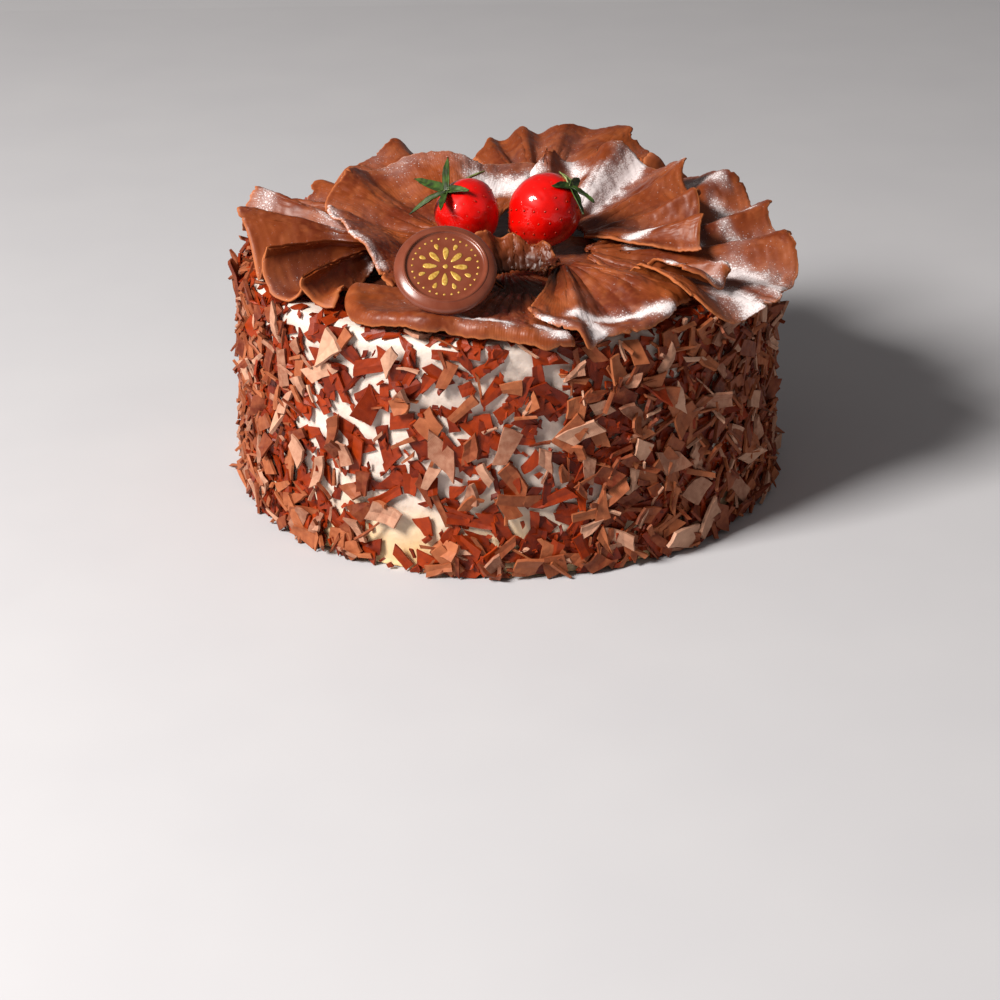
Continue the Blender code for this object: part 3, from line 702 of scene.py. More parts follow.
def sugar_depth(points, x, y, z, wave):
    """How much sugar lies at each point, from 0 to 1: the drifts and a thin uneven cover, deeper in
    the pleats' valleys, on what faces up. In the hollow it goes down to -1, which paints shade there."""
    up = unit(np.cross(np.gradient(points, axis=0), np.gradient(points, axis=1)))[..., 2]
    dust = drift_depth(x, y) + BASE_DUST - DUST_IN_VALLEYS * wave
    dust = dust + DUST_WAVER * rough(x / DUST_WAVER_SIZE, y / DUST_WAVER_SIZE, 72)
    dust = dust * np.clip(up * 2.2 - 0.6, 0, 1)
    # Painted shade in the hollow: no sugar there, and the value falls below zero to draw it dark
    hollow_shade = np.exp(-(np.hypot(x - HOLLOW[0], y - HOLLOW[1]) / HOLLOW_RADIUS) ** 4)
    hollow_shade = hollow_shade * np.clip((HOLLOW_TOP - z) / HOLLOW_FADE, 0, 1)
    return np.clip(dust * (1 - hollow_shade) - hollow_shade, -1, 1)


def make_ruffle(name, ruffle, seed):
    points, thick, torn, dust, scrape = ruffle_grid(name, ruffle, seed)
    piece("chocolate_" + name, thin_sheets(points[None], thick[None]), RUFFLE_CHOCOLATE,
          "ruffle_chocolate", [name], torn=np.stack([torn, torn]), dust=np.stack([dust, 0 * dust]),
          scrape=np.stack([scrape, scrape]))


for order, (ruffle_name, ruffle_sizes) in enumerate(RUFFLES.items()):
    make_ruffle(ruffle_name, ruffle_sizes, 100 + 20 * order)

# %% [markdown]
# The shavings on the side come off a block with a knife or a peeler. Their smooth face is dark and
# red-brown, the scraped face is pale and ridged, and both sorts show, because they are pressed on by
# the handful. The flat ones sink into the cream, and the thick ones lie over them.

# %% Shaving materials
RIDGE_PITCH = 0.6
# How far a shaving's own tone moves it from the dark to the light colour
TONE_SHARE = 0.8


def shaving_chocolate(name, dark, light, roughness, ridges):
    """A chocolate between two tones, chosen for each shaving by its own tone value, with ridges
    along the shaving, which its grain value counts in mm."""
    made, tree, shader, place = start_material(name)
    tone, grain = (add(tree, "Attribute", out="Fac", attribute_name=name) for name in ("tone", "grain"))
    mottle = add(tree, "TexNoise", {"Vector": place, "Scale": per_mm(2.5), "Detail": 4.0})
    spots = add(tree, "MapRange", [mottle, 0.3, 0.7, -0.12, 0.3])
    mixed = add(tree, "Math", [tone, TONE_SHARE, spots], operation="MULTIPLY_ADD")
    wave = add(tree, "Math", [grain, 2 * math.pi / RIDGE_PITCH], operation="MULTIPLY")
    wave = add(tree, "Math", [wave], operation="SINE")
    height = add(tree, "Math", [wave, ridges, mottle], operation="MULTIPLY_ADD")
    feed(tree, shader, {
        "Base Color": add(tree, "Mix", {0: mixed, 6: dark, 7: light}, 2, data_type="RGBA"),
        "Roughness": roughness, "Specular IOR Level": 0.24,
        "Normal": add(tree, "Bump", {"Strength": 0.6, "Distance": 0.25 * MM, "Height": height})})
    return made


# The smooth side of a shaving, cut clean by the blade: red-brown with a low gloss
CUT_FACE = shaving_chocolate("clean_cut_chocolate", "#5c1604", "#9a3408", 0.42, 0.04)
# The scraped side: crystals of cocoa butter scatter the light, so it is pale and matt
SCRAPED_FACE = shaving_chocolate("scraped_pale_chocolate", "#8a5640", "#cfa186", 0.7, 0.1)
# Between the two, warm mid-brown
WARM_FACE = shaving_chocolate("warm_milk_chocolate", "#66240e", "#ae6640", 0.55, 0.06)
print("three shaving finishes")

# %% [markdown]
# Each shaving is a small bent plate with four straight sides and broken ends. Its four corners are
# those of a rectangle, each moved at random, so some come out as wedges or triangles. All the plates of
# a kind are drawn and bent at once.

# %% Shaving forms
SHAVING_ROWS, SHAVING_COLUMNS = 4, 3
# Shares of the half width: how much longer one side is, how rough the rim is, the twist and the cup
SKEW, JOG, TWIST, CUP = 0.5, 0.09, 0.15, (-0.15, 0.2)
# How far out each corner is, as shares of the half length and the half width
CORNER_LONG, CORNER_WIDE = (0.7, 1.2), (0.15, 1.25)


def shaving_plates(count, length, width, thickness, bend, seed):
    """A point at shares a and b of the length and width, each from -1 to 1, is the blend of four
    corners, each moved by up to a third of the size. It is raised by bend times the square of a, by
    twist times ab and by cup times the square of b, and the points of the rim are jogged a little."""
    draw = np.random.default_rng(seed)

    def each(low, high):
        return draw.uniform(low, high, (count, 1, 1))

    a = np.linspace(-1, 1, SHAVING_ROWS)[None, :, None]
    b = np.linspace(-1, 1, SHAVING_COLUMNS)[None, None, :]
    long, wide = each(*length) / 2, each(*width) / 2
    skew = each(-SKEW, SKEW)
    x, y = 0, 0
    for side, end in ((-1, -1), (-1, 1), (1, -1), (1, 1)):
        share = (1 + side * a) * (1 + end * b) / 4
        x = x + share * (side * long * each(*CORNER_LONG) + skew * end * wide)
        y = y + share * end * wide * each(*CORNER_WIDE)
    rim = np.maximum(np.abs(a) > 0.99, np.abs(b) > 0.99)
    jog = draw.uniform(-JOG, JOG, (2, count, SHAVING_ROWS, SHAVING_COLUMNS)) * rim * wide
    z = each(*bend) * 2 * long * (a * a - 0.4) + each(-TWIST, TWIST) * wide * a * b
    z = z + each(*CUP) * wide * b * b
    x, y = x + jog[0], y + jog[1]
    points, faces = thin_sheets(np.stack([x, y, z], -1) * MM, each(*thickness) * MM)
    return points, faces, np.tile((x + 0 * y).reshape(count, -1), 2)


def place_shavings(points, angle, radius, height, slope, spin, lean, roll):
    """Puts each plate at its angle round the cake, radius and height in mm. Its face points out at
    slope 0 and up at slope a quarter turn. Spin turns it in its face, and lean and roll tip it."""
    outward = np.stack([np.cos(angle), np.sin(angle), 0 * angle], -1)
    aside = np.stack([-np.sin(angle), np.cos(angle), 0 * angle], -1)
    upward = np.broadcast_to([0.0, 0.0, 1.0], aside.shape)
    flat = np.cos(slope)[:, None] * outward + np.sin(slope)[:, None] * upward
    rising = np.cos(slope)[:, None] * upward - np.sin(slope)[:, None] * outward
    facing = unit(flat + lean[:, None] * rising + roll[:, None] * aside)
    first = np.cos(spin)[:, None] * aside + np.sin(spin)[:, None] * rising
    first = unit(first - (first * facing).sum(-1, keepdims=True) * facing)
    second = np.cross(facing, first)
    middle = outward * (radius * MM)[:, None] + upward * (height * MM)[:, None]
    return (points[..., :1] * first[:, None] + points[..., 1:2] * second[:, None]
            + points[..., 2:] * facing[:, None] + middle[:, None])


print("a shaving has", 4 * (SHAVING_ROWS - 1) * (SHAVING_COLUMNS - 1)
      + 4 * (SHAVING_ROWS + SHAVING_COLUMNS - 2), "triangles")

# %% [markdown]
# The coat that carries the shavings runs up the side, round the top edge and a little way in. One
# length measures all three. The handfuls leave more cream showing at the front left than on the right,
# and more shavings gather at the foot, where some stand out. Where a ruffle lies low over the cream,
# there is no room for one.

# %% Places for shavings
# In mm: room under the lowest ones, how far in over the top they lie, room under a ruffle, how close
# to it that is looked for, and how far over the cake's top they may reach
FOOT_CLEAR, TOP_LENGTH, RUFFLE_CLEAR, ROOM_WITHIN, TALLEST = 0.3, 12.0, 0.2, 2, 4.5
SIDE_LENGTH, ROUND_LENGTH = CAKE_TOP - TOP_ROUND, TOP_ROUND * math.pi / 2
COAT_LENGTH = SIDE_LENGTH + ROUND_LENGTH + TOP_LENGTH
THIN_AT, THIN_TURN = math.radians(250), math.radians(23)
# The foot is fully covered up to this length, but for a patch: its angle, height and half sizes
FOOT_LENGTH, BARE_PATCH, BARE_CHANCE = 12, (math.radians(247), 15.0, 0.15, 13.0), 0.12


def coat_place(length):
    """Radius, height and slope at a length up the coat: the side, then the quarter round, then in
    over the flat top."""
    turned = np.clip((length - SIDE_LENGTH) / ROUND_LENGTH, 0, 1) * math.pi / 2
    inward = np.maximum(length - SIDE_LENGTH - ROUND_LENGTH, 0)
    up = np.minimum(length, SIDE_LENGTH)
    radius = side_radius(up) - TOP_ROUND * (1 - np.cos(turned)) - inward
    return radius, up + TOP_ROUND * np.sin(turned), turned


def roomy(points):
    """True for the shavings whose every point lies under the lowest ruffle within ROOM_WITHIN."""
    free = CAKE_TOP - grown(-LOWEST_SHEET, ROOM_WITHIN)
    x, y, z = np.moveaxis(points / MM, -1, 0)
    return (z + RUFFLE_CLEAR < free[cell_of(x), cell_of(y)]).all(axis=1)


def kept(angle, length, cover, seed):
    """True for the places that hold a shaving. The chance is the first cover within THIN_TURN of
    the thin part at the front left, goes to the second over as much again and at the foot, and falls
    in one bare patch near the foot."""
    off = np.abs((angle - THIN_AT + np.pi) % (2 * np.pi) - np.pi)
    thin, full = cover
    chance = thin + (full - thin) * np.clip((off - THIN_TURN) / THIN_TURN, 0, 1)
    chance = np.where(length < FOOT_LENGTH, full, chance)
    patch_angle, patch_height, half_turn, half_height = BARE_PATCH
    aside = (angle % (2 * np.pi) - patch_angle) / half_turn
    away = aside ** 2 + ((length - patch_height) / half_height) ** 2
    chance = np.where(away < 1, BARE_CHANCE, chance)
    return np.random.default_rng(seed).uniform(0, 1, len(angle)) < chance


print("shavings lie on", round(COAT_LENGTH, 1), "mm of coat")

# %% Scatter shavings
GOLDEN_SHARE = 0.6180339887
# How far a place is jogged, in turns and in places up the coat, and the lowest place in mm
ANGLE_JOG, LENGTH_JOG, LOWEST = 0.006, (-3, 4), 1.5
# The slopes of flat and tipped shavings, and how far in mm tipped ones and those at the foot stand out
FLAT_SLOPE, TIPPED_LEAN, TIPPED_ROLL, TIPPED_OUT, FOOT_OUT = 0.12, (-0.8, 1.0), (-0.8, 0.8), 0.9, 1.4

# Each kind, in mm: how many places it has, the ranges of its sizes, its bend, how far it stands out
# of the cream, the share that is tipped, and the chance of one in the thin part and in the full one
SHAVINGS = {
    "shavings_flat_small": dict(
        count=2500, length=(5, 11), width=(3.5, 7.5), thickness=(0.5, 0.8), bend=(-0.02, 0.04),
        stand=(-0.1, 0.3), wild=0.01, cover=(0.46, 0.88), finish=CUT_FACE, seed=301),
    "shavings_flat_large": dict(
        count=620, length=(9, 17), width=(5, 9), thickness=(0.6, 1.0), bend=(-0.02, 0.05),
        stand=(0.0, 0.6), wild=0.03, cover=(0.3, 0.8), finish=CUT_FACE, seed=311),
    "shavings_warm": dict(
        count=950, length=(6, 14), width=(4, 9), thickness=(0.8, 1.3), bend=(-0.05, 0.1),
        stand=(0.6, 2.2), wild=0.16, cover=(0.22, 0.9), finish=WARM_FACE, seed=321),
    "shavings_scraped": dict(
        count=400, length=(6, 14), width=(5, 10), thickness=(0.9, 1.4), bend=(-0.07, 0.12),
        stand=(1.0, 2.6), wild=0.18, cover=(0.4, 0.5), finish=SCRAPED_FACE, seed=331),
    "shaving_slivers": dict(
        count=1500, length=(5, 12), width=(1.0, 2.2), thickness=(0.7, 1.2), bend=(-0.05, 0.08),
        stand=(0.4, 2.2), wild=0.5, cover=(0.08, 0.85), finish=WARM_FACE, seed=341),
    "shaving_pale_slivers": dict(
        count=460, length=(5, 10), width=(1.0, 2.0), thickness=(0.7, 1.2), bend=(-0.05, 0.08),
        stand=(0.6, 2.4), wild=0.5, cover=(0.12, 0.8), finish=SCRAPED_FACE, seed=346),
    "shaving_chips": dict(
        count=2800, length=(1.5, 3.5), width=(1.2, 2.8), thickness=(0.5, 0.9), bend=(-0.05, 0.05),
        stand=(0.0, 1.2), wild=0.25, cover=(0.4, 0.8), finish=CUT_FACE, seed=351),
}


def scatter(name, count, length, width, thickness, bend, stand, wild, cover, finish, seed):
    """Shavings over the whole coat. The angle steps by the golden section of a turn and the length
    runs evenly, both jogged, so the cover is even but irregular. A wild share of them is tipped."""
    draw = np.random.default_rng(seed)
    order = np.arange(count)
    angle = 2 * np.pi * (order * GOLDEN_SHARE + draw.uniform(-ANGLE_JOG, ANGLE_JOG, count))
    up = np.clip((order + draw.uniform(*LENGTH_JOG, count)) / count * COAT_LENGTH, LOWEST, None)
    radius, height, slope = coat_place(up)
    points, faces, grain = shaving_plates(count, length, width, thickness, bend, seed + 2)
    tipped = draw.uniform(0, 1, count) < wild
    spin = draw.uniform(0, 2 * np.pi, count)
    lean = draw.normal(0, FLAT_SLOPE, count) + tipped * draw.uniform(*TIPPED_LEAN, count)
    roll = draw.normal(0, FLAT_SLOPE, count) + tipped * draw.uniform(*TIPPED_ROLL, count)
    out = draw.uniform(*stand, count) + TIPPED_OUT * tipped
    out = out + FOOT_OUT * np.clip((FOOT_LENGTH - height) / FOOT_LENGTH, 0, 1)
    out = out - np.minimum(slope, 1) * (0.5 * out + 0.3)
    placed = place_shavings(points, angle, radius + out * np.cos(slope), height + out * np.sin(slope),
                            slope, spin, lean, roll)
    sunk = np.minimum(placed[..., 2].min(axis=1) - FOOT_CLEAR * MM, 0)
    placed[..., 2] -= sunk[:, None]
    tall = placed[..., 2].max(axis=1) / MM
    chosen = kept(angle, up, cover, seed + 3) & roomy(placed) & (tall < CAKE_TOP + TALLEST)
    tone = np.broadcast_to(draw.uniform(0, 1, count)[:, None], placed.shape[:2])
    piece(name, (placed[chosen], faces), finish, "flaked_cream", ["cake"], flat=True,
          tone=tone[chosen], grain=grain[chosen])


for shaving_name, shaving_sizes in SHAVINGS.items():
    scatter(shaving_name, **shaving_sizes)

# %% [markdown]
# The plaque is tempered chocolate cast in a mould: a disc with a round raised rim. Tempering and a
# polished mould give it an even satin gloss. Its profile is turned round its own axis, then leaned
# back against the ruffles. The ornament is a plain rosette in gold, with a ring of dots.

# %% Plaque
PLAQUE_RADIUS, PLAQUE_THICKNESS, PLAQUE_RIM, PLAQUE_RECESS = 17.4, 4.0, 4.1, 0.9
PLAQUE_STEPS, PLAQUE_EDGE, CREST_RADIUS, CREST_HEIGHT, RIM_SWELL = 128, 0.9, 0.5, 0.3, 0.42
PLAQUE_FLOOR = PLAQUE_THICKNESS - PLAQUE_RECESS
PLAQUE_CENTRE = Vector((-20.5, -77, 19)) * MM + Vector((0, 0, CAKE_HEIGHT))
PLAQUE_TURN = Matrix.Rotation(math.radians(3), 3, "Y") @ Matrix.Rotation(math.radians(37), 3, "X")


def cast_chocolate():
    """Tempered chocolate from a polished mould: dark satin, with faint cloudy bloom."""
    made, tree, shader, place = start_material("cast_tempered_chocolate")
    bloom = add(tree, "TexNoise", {"Vector": place, "Scale": per_mm(7), "Detail": 4.0})
    bloom = add(tree, "MapRange", [bloom, 0.4, 0.7])
    skin = add(tree, "TexNoise", {"Vector": place, "Scale": per_mm(1.2), "Detail": 3.0})
    feed(tree, shader, {
        "Base Color": add(tree, "Mix", {0: bloom, 6: "#6f3523", 7: "#7d4330"}, 2, data_type="RGBA"),
        "Roughness": 0.26,
        "Normal": add(tree, "Bump", {"Strength": 0.12, "Distance": 0.1 * MM, "Height": skin})})
    return made


def gold_lustre():
    """Edible gold lustre printed on chocolate: warm, half metallic, with a brushed grain."""
    made, tree, shader, place = start_material("edible_gold_lustre")
    grain = add(tree, "TexNoise", {"Vector": place, "Scale": per_mm(0.8), "Detail": 3.0})
    grain = add(tree, "MapRange", [grain, 0.35, 0.7])
    feed(tree, shader, {
        "Base Color": add(tree, "Mix", {0: grain, 6: "#b98a34", 7: "#e2bd62"}, 2, data_type="RGBA"),
        "Metallic": 0.35, "Roughness": 0.42})
    return made


def on_plaque(local):
    """Local points in mm, z along the plaque's axis, carried to its place on the cake."""
    return local * MM @ np.array(PLAQUE_TURN).T + np.array(PLAQUE_CENTRE)


def plaque_disc():
    """Radius and height up the outside: a flat back, a rounded outer edge, a band that rises to a
    narrow crest near its inner side, a steep step down and a floor sunk by the recess."""
    share, crest = np.linspace(0, 1, 16), np.linspace(0, math.pi, 9)[1:]
    inner = PLAQUE_RADIUS - PLAQUE_RIM
    radius = np.concatenate([np.linspace(2, PLAQUE_RADIUS - PLAQUE_EDGE, 8),
                             PLAQUE_RADIUS - PLAQUE_EDGE * (1 - np.sin(share * math.pi / 2)),
                             PLAQUE_RADIUS - share[1:] * (PLAQUE_RIM - 0.7 - CREST_RADIUS),
                             inner + 0.7 + CREST_RADIUS * np.cos(crest), np.linspace(inner - 0.1, 0.6, 16)])
    rise = PLAQUE_THICKNESS - PLAQUE_EDGE - CREST_HEIGHT
    height = np.concatenate([np.zeros(8), PLAQUE_EDGE * (1 - np.cos(share * math.pi / 2)),
                             PLAQUE_EDGE + rise * share[1:] ** RIM_SWELL,
                             PLAQUE_THICKNESS - CREST_HEIGHT * (1 - np.sin(crest)),
                             np.full(16, PLAQUE_FLOOR)])
    turn = np.linspace(0, 2 * np.pi, PLAQUE_STEPS, endpoint=False)
    r, a = np.meshgrid(radius, turn, indexing="ij")
    rings = np.stack([r * np.cos(a), r * np.sin(a), height[:, None] + 0 * r], -1)
    poles = np.array([[0, 0, 0], [0, 0, PLAQUE_FLOOR]])
    form = skins(on_plaque(rings)[None], on_plaque(poles[:1]), on_plaque(poles[1:]))
    return piece("plaque_disc", form, cast_chocolate(), "plaque_chocolate", ["plaque"])


def gold_ornament():
    """Petals and dots as low domes: each is a ring of points stretched to its length and width and
    turned to its place, with a pole above the floor."""
    shapes = [(5.1, 5.0, 1.9, k / 8) for k in range(8)] + [(8.3, 2.4, 1.4, (k + 0.5) / 8) for k in range(8)]
    shapes += [(11.1, 0.8, 0.8, k / 28) for k in range(28)] + [(0.0, 1.7, 1.7, 0.0)]
    away, long, wide, share = (column[:, None, None] for column in np.array(shapes).T)
    across, along_axis = np.cos(2 * np.pi * share), np.sin(2 * np.pi * share)
    turn = np.linspace(0, 2 * np.pi, 20, endpoint=False)
    spread, level = np.array([[1.0, -0.2], [1.0, 0.06], [0.8, 0.13]]).T[:, None, :, None]
    u = spread * long / 2 * np.cos(turn) + away
    v = spread * wide / 2 * np.sin(turn) * (1 + 0.35 * np.cos(turn))
    x, y = u * across - v * along_axis, u * along_axis + v * across
    rings = np.stack([x, y, PLAQUE_FLOOR + level + 0 * x], -1)
    centre = np.concatenate([away * across, away * along_axis, PLAQUE_FLOOR + 0 * away], -1)[:, 0]
    low, high = on_plaque(centre - [0, 0, 0.2]), on_plaque(centre + [0, 0, 0.15])
    form = skins(on_plaque(rings), low, high)
    return piece("plaque_gold_rosette", form, gold_lustre(), "plaque_chocolate")


plaque_disc()
gold_ornament()

# %% [markdown]
# The strawberries are dipped in a clear glaze that sets to a hard, wet shine. Under it the fruit is
# deep red and slightly translucent, with pips in shallow pits. The pits are pushed into the fruit's
# grid where the pips will sit, and the pips are small seeds half sunk in them.

# %% Berry materials


def glazed_fruit():
    """Ripe strawberry under a clear sugar glaze: saturated red with a mirror-like coat."""
    made, tree, shader, place = start_material("glazed_strawberry")
    flush = add(tree, "TexNoise", {"Vector": place, "Scale": per_mm(9), "Detail": 3.0})
    flush = add(tree, "MapRange", [flush, 0.4, 0.75])
    pit = add(tree, "Attribute", out="Fac", attribute_name="pit")
    body = add(tree, "Mix", {0: flush, 6: "#c40200", 7: "#e60800"}, 2, data_type="RGBA")
    feed(tree, shader, {
        # Painted shade: the fruit is drawn darker red in the pits round the pips
        "Base Color": add(tree, "Mix", {0: pit, 6: body, 7: "#a00300"}, 2, data_type="RGBA"),
        "Roughness": 0.4, "Specular IOR Level": 0.2, "Subsurface Weight": 0.08,
        "Subsurface Radius": (1.0, 0.12, 0.08), "Subsurface Scale": 1.0 * MM,
        "Coat Weight": 0.7, "Coat Roughness": 0.04})
    return made


def plain_food(name, dark, light, size_mm, roughness):
    """A matt food in two tones that swap over about size_mm."""
    made, tree, shader, place = start_material(name)
    patch = add(tree, "TexNoise", {"Vector": place, "Scale": per_mm(size_mm), "Detail": 3.0})
    patch = add(tree, "MapRange", [patch, 0.38, 0.66])
    feed(tree, shader, {"Base Color": add(tree, "Mix", {0: patch, 6: dark, 7: light}, 2, data_type="RGBA"),
                        "Roughness": roughness})
    return made


GLAZED = glazed_fruit()
# The pips, the sepals and one wilted sepal: dry and matt beside the wet fruit
PIP = plain_food("strawberry_pip", "#a01404", "#bc3008", 1.0, 0.4)
LEAF = plain_food("strawberry_leaf", "#1c2c08", "#3c5a1a", 4.0, 0.5)
PALE_LEAF = plain_food("pale_strawberry_leaf", "#6f8040", "#a8b278", 4.0, 0.55)
print("berry finishes ready")

# %% Berries
# Widest radius and height in mm, centre over the cake's top, the way the stem end points, and how
# many pips it has
BERRIES = {
    "left": dict(radius=12.6, height=24.0, centre=(-13, -14, 18), stem=(-0.6, -0.25, 0.75), pips=90),
    "right": dict(radius=13.6, height=30.0, centre=(13.5, -15, 18), stem=(0.6, -0.25, 0.65), pips=120),
}
BERRY_TAPER, PIPS_UP_TO = 0.3, 0.93
# Pits: their depth and size in mm, and how much shade is painted into them
PIT_DEPTH, PIT_SIZE, PIT_SHADE = 0.1, 0.8, 0.3
# The angle in radians from one pip to the next, round a spiral that never lines up
GOLDEN_ANGLE = 2.3999632
BERRY_RINGS, BERRY_STEPS, SWELL, SWELL_SIZE = 110, 144, 0.35, 9


def berry_place(sizes):
    """The matrix that turns a berry's own up to its stem's way, and its centre in metres."""
    turn = Vector((0, 0, 1)).rotation_difference(Vector(sizes["stem"]).normalized()).to_matrix()
    return np.array(turn), (np.array(sizes["centre"]) + [0, 0, CAKE_TOP]) * MM


def berry_surface(sizes, up, angle):
    """A berry's own point in mm: up runs from -1 at the tip to 1 at the stem, and the radius is that
    of a ball, narrowed towards the tip by taper times the square of the way down."""
    narrow = 1 - BERRY_TAPER * ((1 - up) / 2) ** 2
    radius = np.sqrt(np.maximum(1 - up * up, 0)) * narrow * sizes["radius"]
    return np.stack([radius * np.cos(angle), radius * np.sin(angle), up * sizes["height"] / 2], -1)


def outwards_of(points):
    """The rough way out of a berry at its own points."""
    return unit(points * [1, 1, 0.8])


def make_berry(side, seed):
    """The berry's grid, with a pit at each pip as deep as e to the minus square of the distance over
    the pit's size, and its pips."""
    sizes = BERRIES[side]
    turn, centre = berry_place(sizes)
    order = np.arange(sizes["pips"])
    down = 2 * PIPS_UP_TO * (order + 0.5) / len(order)
    pips = berry_surface(sizes, PIPS_UP_TO - down, order * GOLDEN_ANGLE)
    up, angle = np.meshgrid(-np.cos(np.linspace(0.03, np.pi - 0.03, BERRY_RINGS)),
                            np.linspace(0, 2 * np.pi, BERRY_STEPS, endpoint=False), indexing="ij")
    skin = berry_surface(sizes, up, angle)
    near = np.exp(-(((skin[:, :, None] - pips) ** 2).sum(-1)) / (PIT_SIZE ** 2)).max(-1)
    swell = SWELL * rough(skin[..., 0] / SWELL_SIZE, (skin[..., 1] + skin[..., 2]) / SWELL_SIZE, seed)
    skin = skin + outwards_of(skin) * (swell - PIT_DEPTH * near)[..., None]
    poles = np.array([[[0, 0, -0.5]], [[0, 0, 0.5]]]) * sizes["height"]
    form = skins(*(part * MM @ turn.T + centre for part in (skin[None], *poles)))
    # Painted shade in the pits, by each pit's depth mask
    pits = np.concatenate([near.reshape(-1) * PIT_SHADE, [0, 0]])
    piece("glazed_berry_" + side, form, GLAZED, "glazed_berry", ["berry_" + side], pit=pits)
    make_pips(side, pips, turn, centre)


def make_pips(side, pips, turn, centre):
    """Seeds as small ovals, 1.0 by 0.6 mm, that lie along the berry in their pits."""
    outward = outwards_of(pips)
    down = unit(np.array([0, 0, -1.0]) + outward * outward[:, 2:])
    ways = (outward, down, np.cross(outward, down))
    spin = np.linspace(0, 2 * np.pi, 8, endpoint=False)
    rise, spin = np.meshgrid([-0.75, 0.0, 0.75], spin, indexing="ij")
    ring = np.sqrt(1 - rise ** 2)
    parts = (rise * 0.16, ring * np.cos(spin) * 0.5, ring * np.sin(spin) * 0.3)
    local = sum(p[None, ..., None] * d[:, None, None] for p, d in zip(parts, ways))
    seat = pips - outward * (PIT_DEPTH - 0.02)
    rings = local[:, :, ::-1] + seat[:, None, None]
    parts = (rings, seat - outward * 0.2, seat + outward * 0.2)
    form = skins(*(part * MM @ turn.T + centre for part in parts))
    piece("berry_pips_" + side, form, PIP, "glazed_berry")


make_berry("left", 501)
make_berry("right", 502)

# %% [markdown]
# The green sepals have wilted a little in the cold: they are narrow, folded along the middle and
# curl up at their tips. Each is a thin sheet along a bent line from the stem end to its tip, chosen
# from where the tips show.

# %% Sepals
# Tips in mm over the cake's top
SEPAL_TIPS = {
    "left": [(-32, 5, 24), (-19.5, -5, 35.2), (-6.5, 1, 28), (-33.5, -20, 19), (-22, -30, 24),
             (-12, -24, 29)],
    "right": [(26, -9, 28), (16, -23, 30), (31, -24, 24), (19, -10, 31), (27, -31, 22)],
}
SEPAL_WIDTH = {"left": 3.2, "right": 2.9}
# Which one has gone pale
PALE_SEPAL = {"left": 2, "right": 3}
SEPAL_THICKNESS, SEPAL_FOLD, SEPAL_CURL, SEPAL_FLUTTER = 0.35, 0.55, 1.2, 0.25
STEM_CLEAR, SEPAL_ARCH, ARCH_CHANGE = 0.4, 1.4, 0.8


def sepal_sheets(side):
    """For u from the stem end to the tip and v across: the midline is a curve through a control
    point raised off the fruit, the width is the sine of pi times u to the 0.75, and the blade is
    folded up by the absolute value of v."""
    sizes = BERRIES[side]
    stem = unit(np.array(sizes["stem"]))
    root = np.array(sizes["centre"]) + stem * (sizes["height"] / 2 + STEM_CLEAR)
    u, v = np.meshgrid(np.linspace(0, 1, 22), np.linspace(-1, 1, 9), indexing="ij")
    blades = []
    for order, tip in enumerate(SEPAL_TIPS[side]):
        reach = np.array(tip, dtype=float) - root
        lifted = root + reach * 0.5 + stem * (SEPAL_ARCH + ARCH_CHANGE * math.sin(3 * order))
        share = u[..., None]
        line = (1 - share) ** 2 * root + 2 * share * (1 - share) * lifted + share ** 2 * tip
        aside = unit(np.cross(stem, reach))
        width = SEPAL_WIDTH[side] / 2 * (np.sin(np.pi * (0.1 + 0.9 * u) ** 0.75) ** 0.8 + 0.02)
        flutter = SEPAL_FLUTTER * rough(u * 5, v * 2, 600 + order)
        raised = SEPAL_FOLD * np.abs(v) * width + flutter + SEPAL_CURL * u ** 3
        blades.append(line - aside * (v * width)[..., None] + stem * raised[..., None])
    return np.stack(blades) * MM + np.array([0, 0, CAKE_HEIGHT])


def make_sepals(side):
    """The green sepals as one piece and the pale one as another, because their finishes differ."""
    blades = sepal_sheets(side)
    pale = np.arange(len(blades)) == PALE_SEPAL[side]
    for name, chosen, finish in (("sepals_", ~pale, LEAF), ("sepal_pale_", pale, PALE_LEAF)):
        form = thin_sheets(blades[chosen], SEPAL_THICKNESS * MM)
        piece(name + side, form, finish, "berry_leaf", ["leaves_" + side])


make_sepals("left")
make_sepals("right")

# %% [markdown]
# A soft studio: one large light at the front left, which leaves the right side of the cake in
# shade as in the photo, a faint fill, and a pale floor that throws some light back up.

# %% Floor and lights
# In metres, and the share of the floor's length after which it curves up behind
FLOOR_SIZE, FLOOR_RISE, RISE_FROM = 6.0, 1.6, 0.62
LIGHT_AIM = Vector((0, 0, 60)) * MM


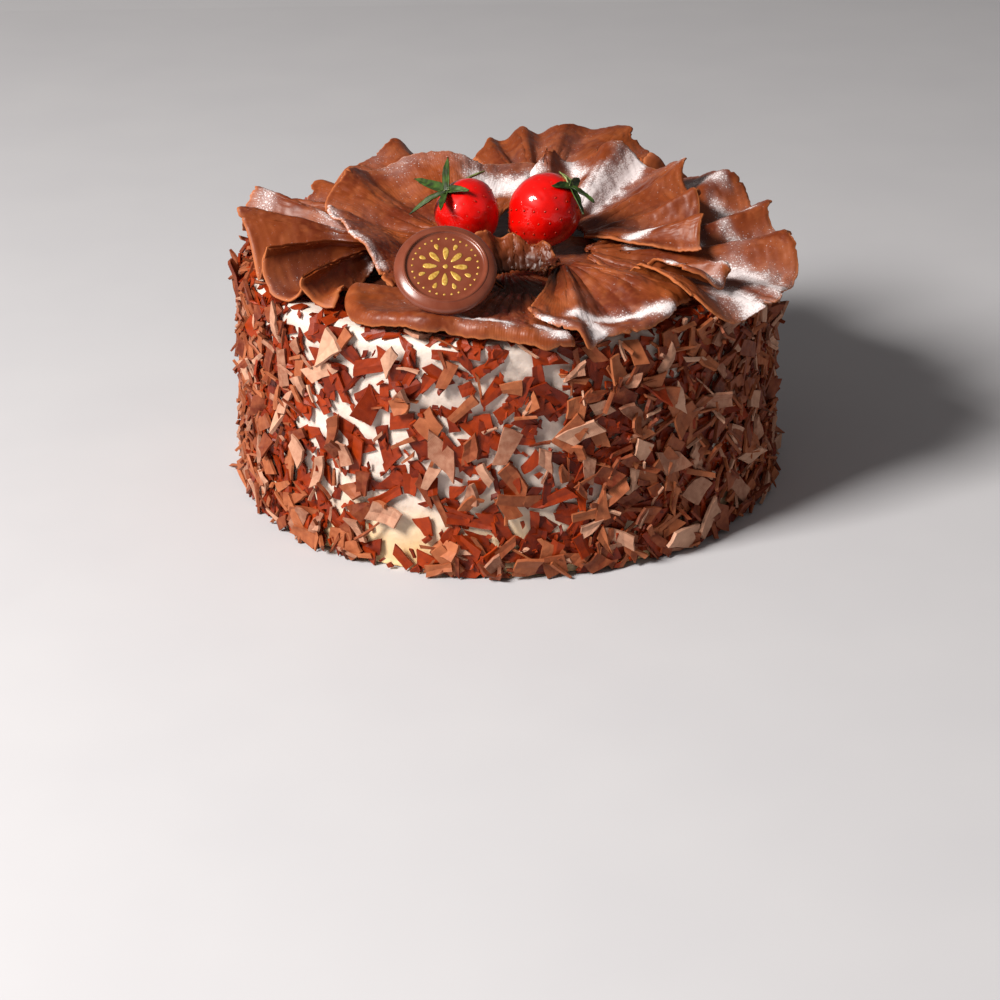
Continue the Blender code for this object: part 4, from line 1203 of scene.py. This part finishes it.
def pale_paper():
    """Matt studio paper, with the faintest broad mottle."""
    made, tree, shader, place = start_material("pale_paper")
    grain = add(tree, "TexNoise", {"Vector": place, "Scale": per_mm(60), "Detail": 2.0})
    feed(tree, shader, {
        "Base Color": add(tree, "Mix", {0: grain, 6: "#bfc1c6", 7: "#c6c8cc"}, 2, data_type="RGBA"),
        "Roughness": 0.8})
    return made


def studio_floor():
    """A wide pale sheet as one grid, whose height behind is the square of the way up its curve."""
    u, v = np.meshgrid(np.linspace(-0.5, 0.5, 3), np.linspace(0, 1, 40), indexing="ij")
    back = np.clip((v - RISE_FROM) / (1 - RISE_FROM), 0, 1)
    points = np.stack([u * FLOOR_SIZE, (v - 0.5) * FLOOR_SIZE, back ** 2 * FLOOR_RISE], -1).reshape(-1, 3)
    index = np.arange(len(points)).reshape(u.shape)
    quads = np.stack([index[:-1, :-1], index[1:, :-1], index[1:, 1:], index[:-1, 1:]], -1).reshape(-1, 4)
    mesh = bpy.data.meshes.new("studio_floor")
    mesh.from_pydata(points.tolist(), [], quads.tolist())
    mesh.materials.append(pale_paper())
    show("studio_floor", mesh)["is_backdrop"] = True


def area_light(name, azimuth, elevation, distance, size, power, colour):
    """A square light aimed at the cake from an azimuth, 0 at the front, and an elevation."""
    a, e = math.radians(azimuth), math.radians(elevation)
    way = Vector((math.sin(a) * math.cos(e), -math.cos(a) * math.cos(e), math.sin(e)))
    light = show(name, bpy.data.lights.new(name, "AREA"))
    light.data.size = size
    light.data.energy = power
    light.data.color = linear(colour)[:3]
    light.location = LIGHT_AIM + way * distance
    light.rotation_euler = way.to_track_quat("Z", "Y").to_euler()


studio_floor()
area_light("window", -55, 38, 1.6, 0.5, 47, "#fff8f2")
area_light("fill", 65, 35, 2.2, 1.6, 1.2, "#f0eefa")
world = bpy.data.worlds.new("studio_air")
world.use_nodes = True
feed(world.node_tree, world.node_tree.nodes["Background"], {"Color": "#e8ded8", "Strength": 0.17})
bpy.context.scene.world = world
bpy.context.scene.view_settings.view_transform = "Standard"
print("lights placed")


# %% Finish
visual_box = [list(corner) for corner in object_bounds()]
grow = [round((v - c) / MM, 1) for pair in zip(cad_box, visual_box) for c, v in zip(*pair)]
print("visual box minus packed box, mm:", grow)
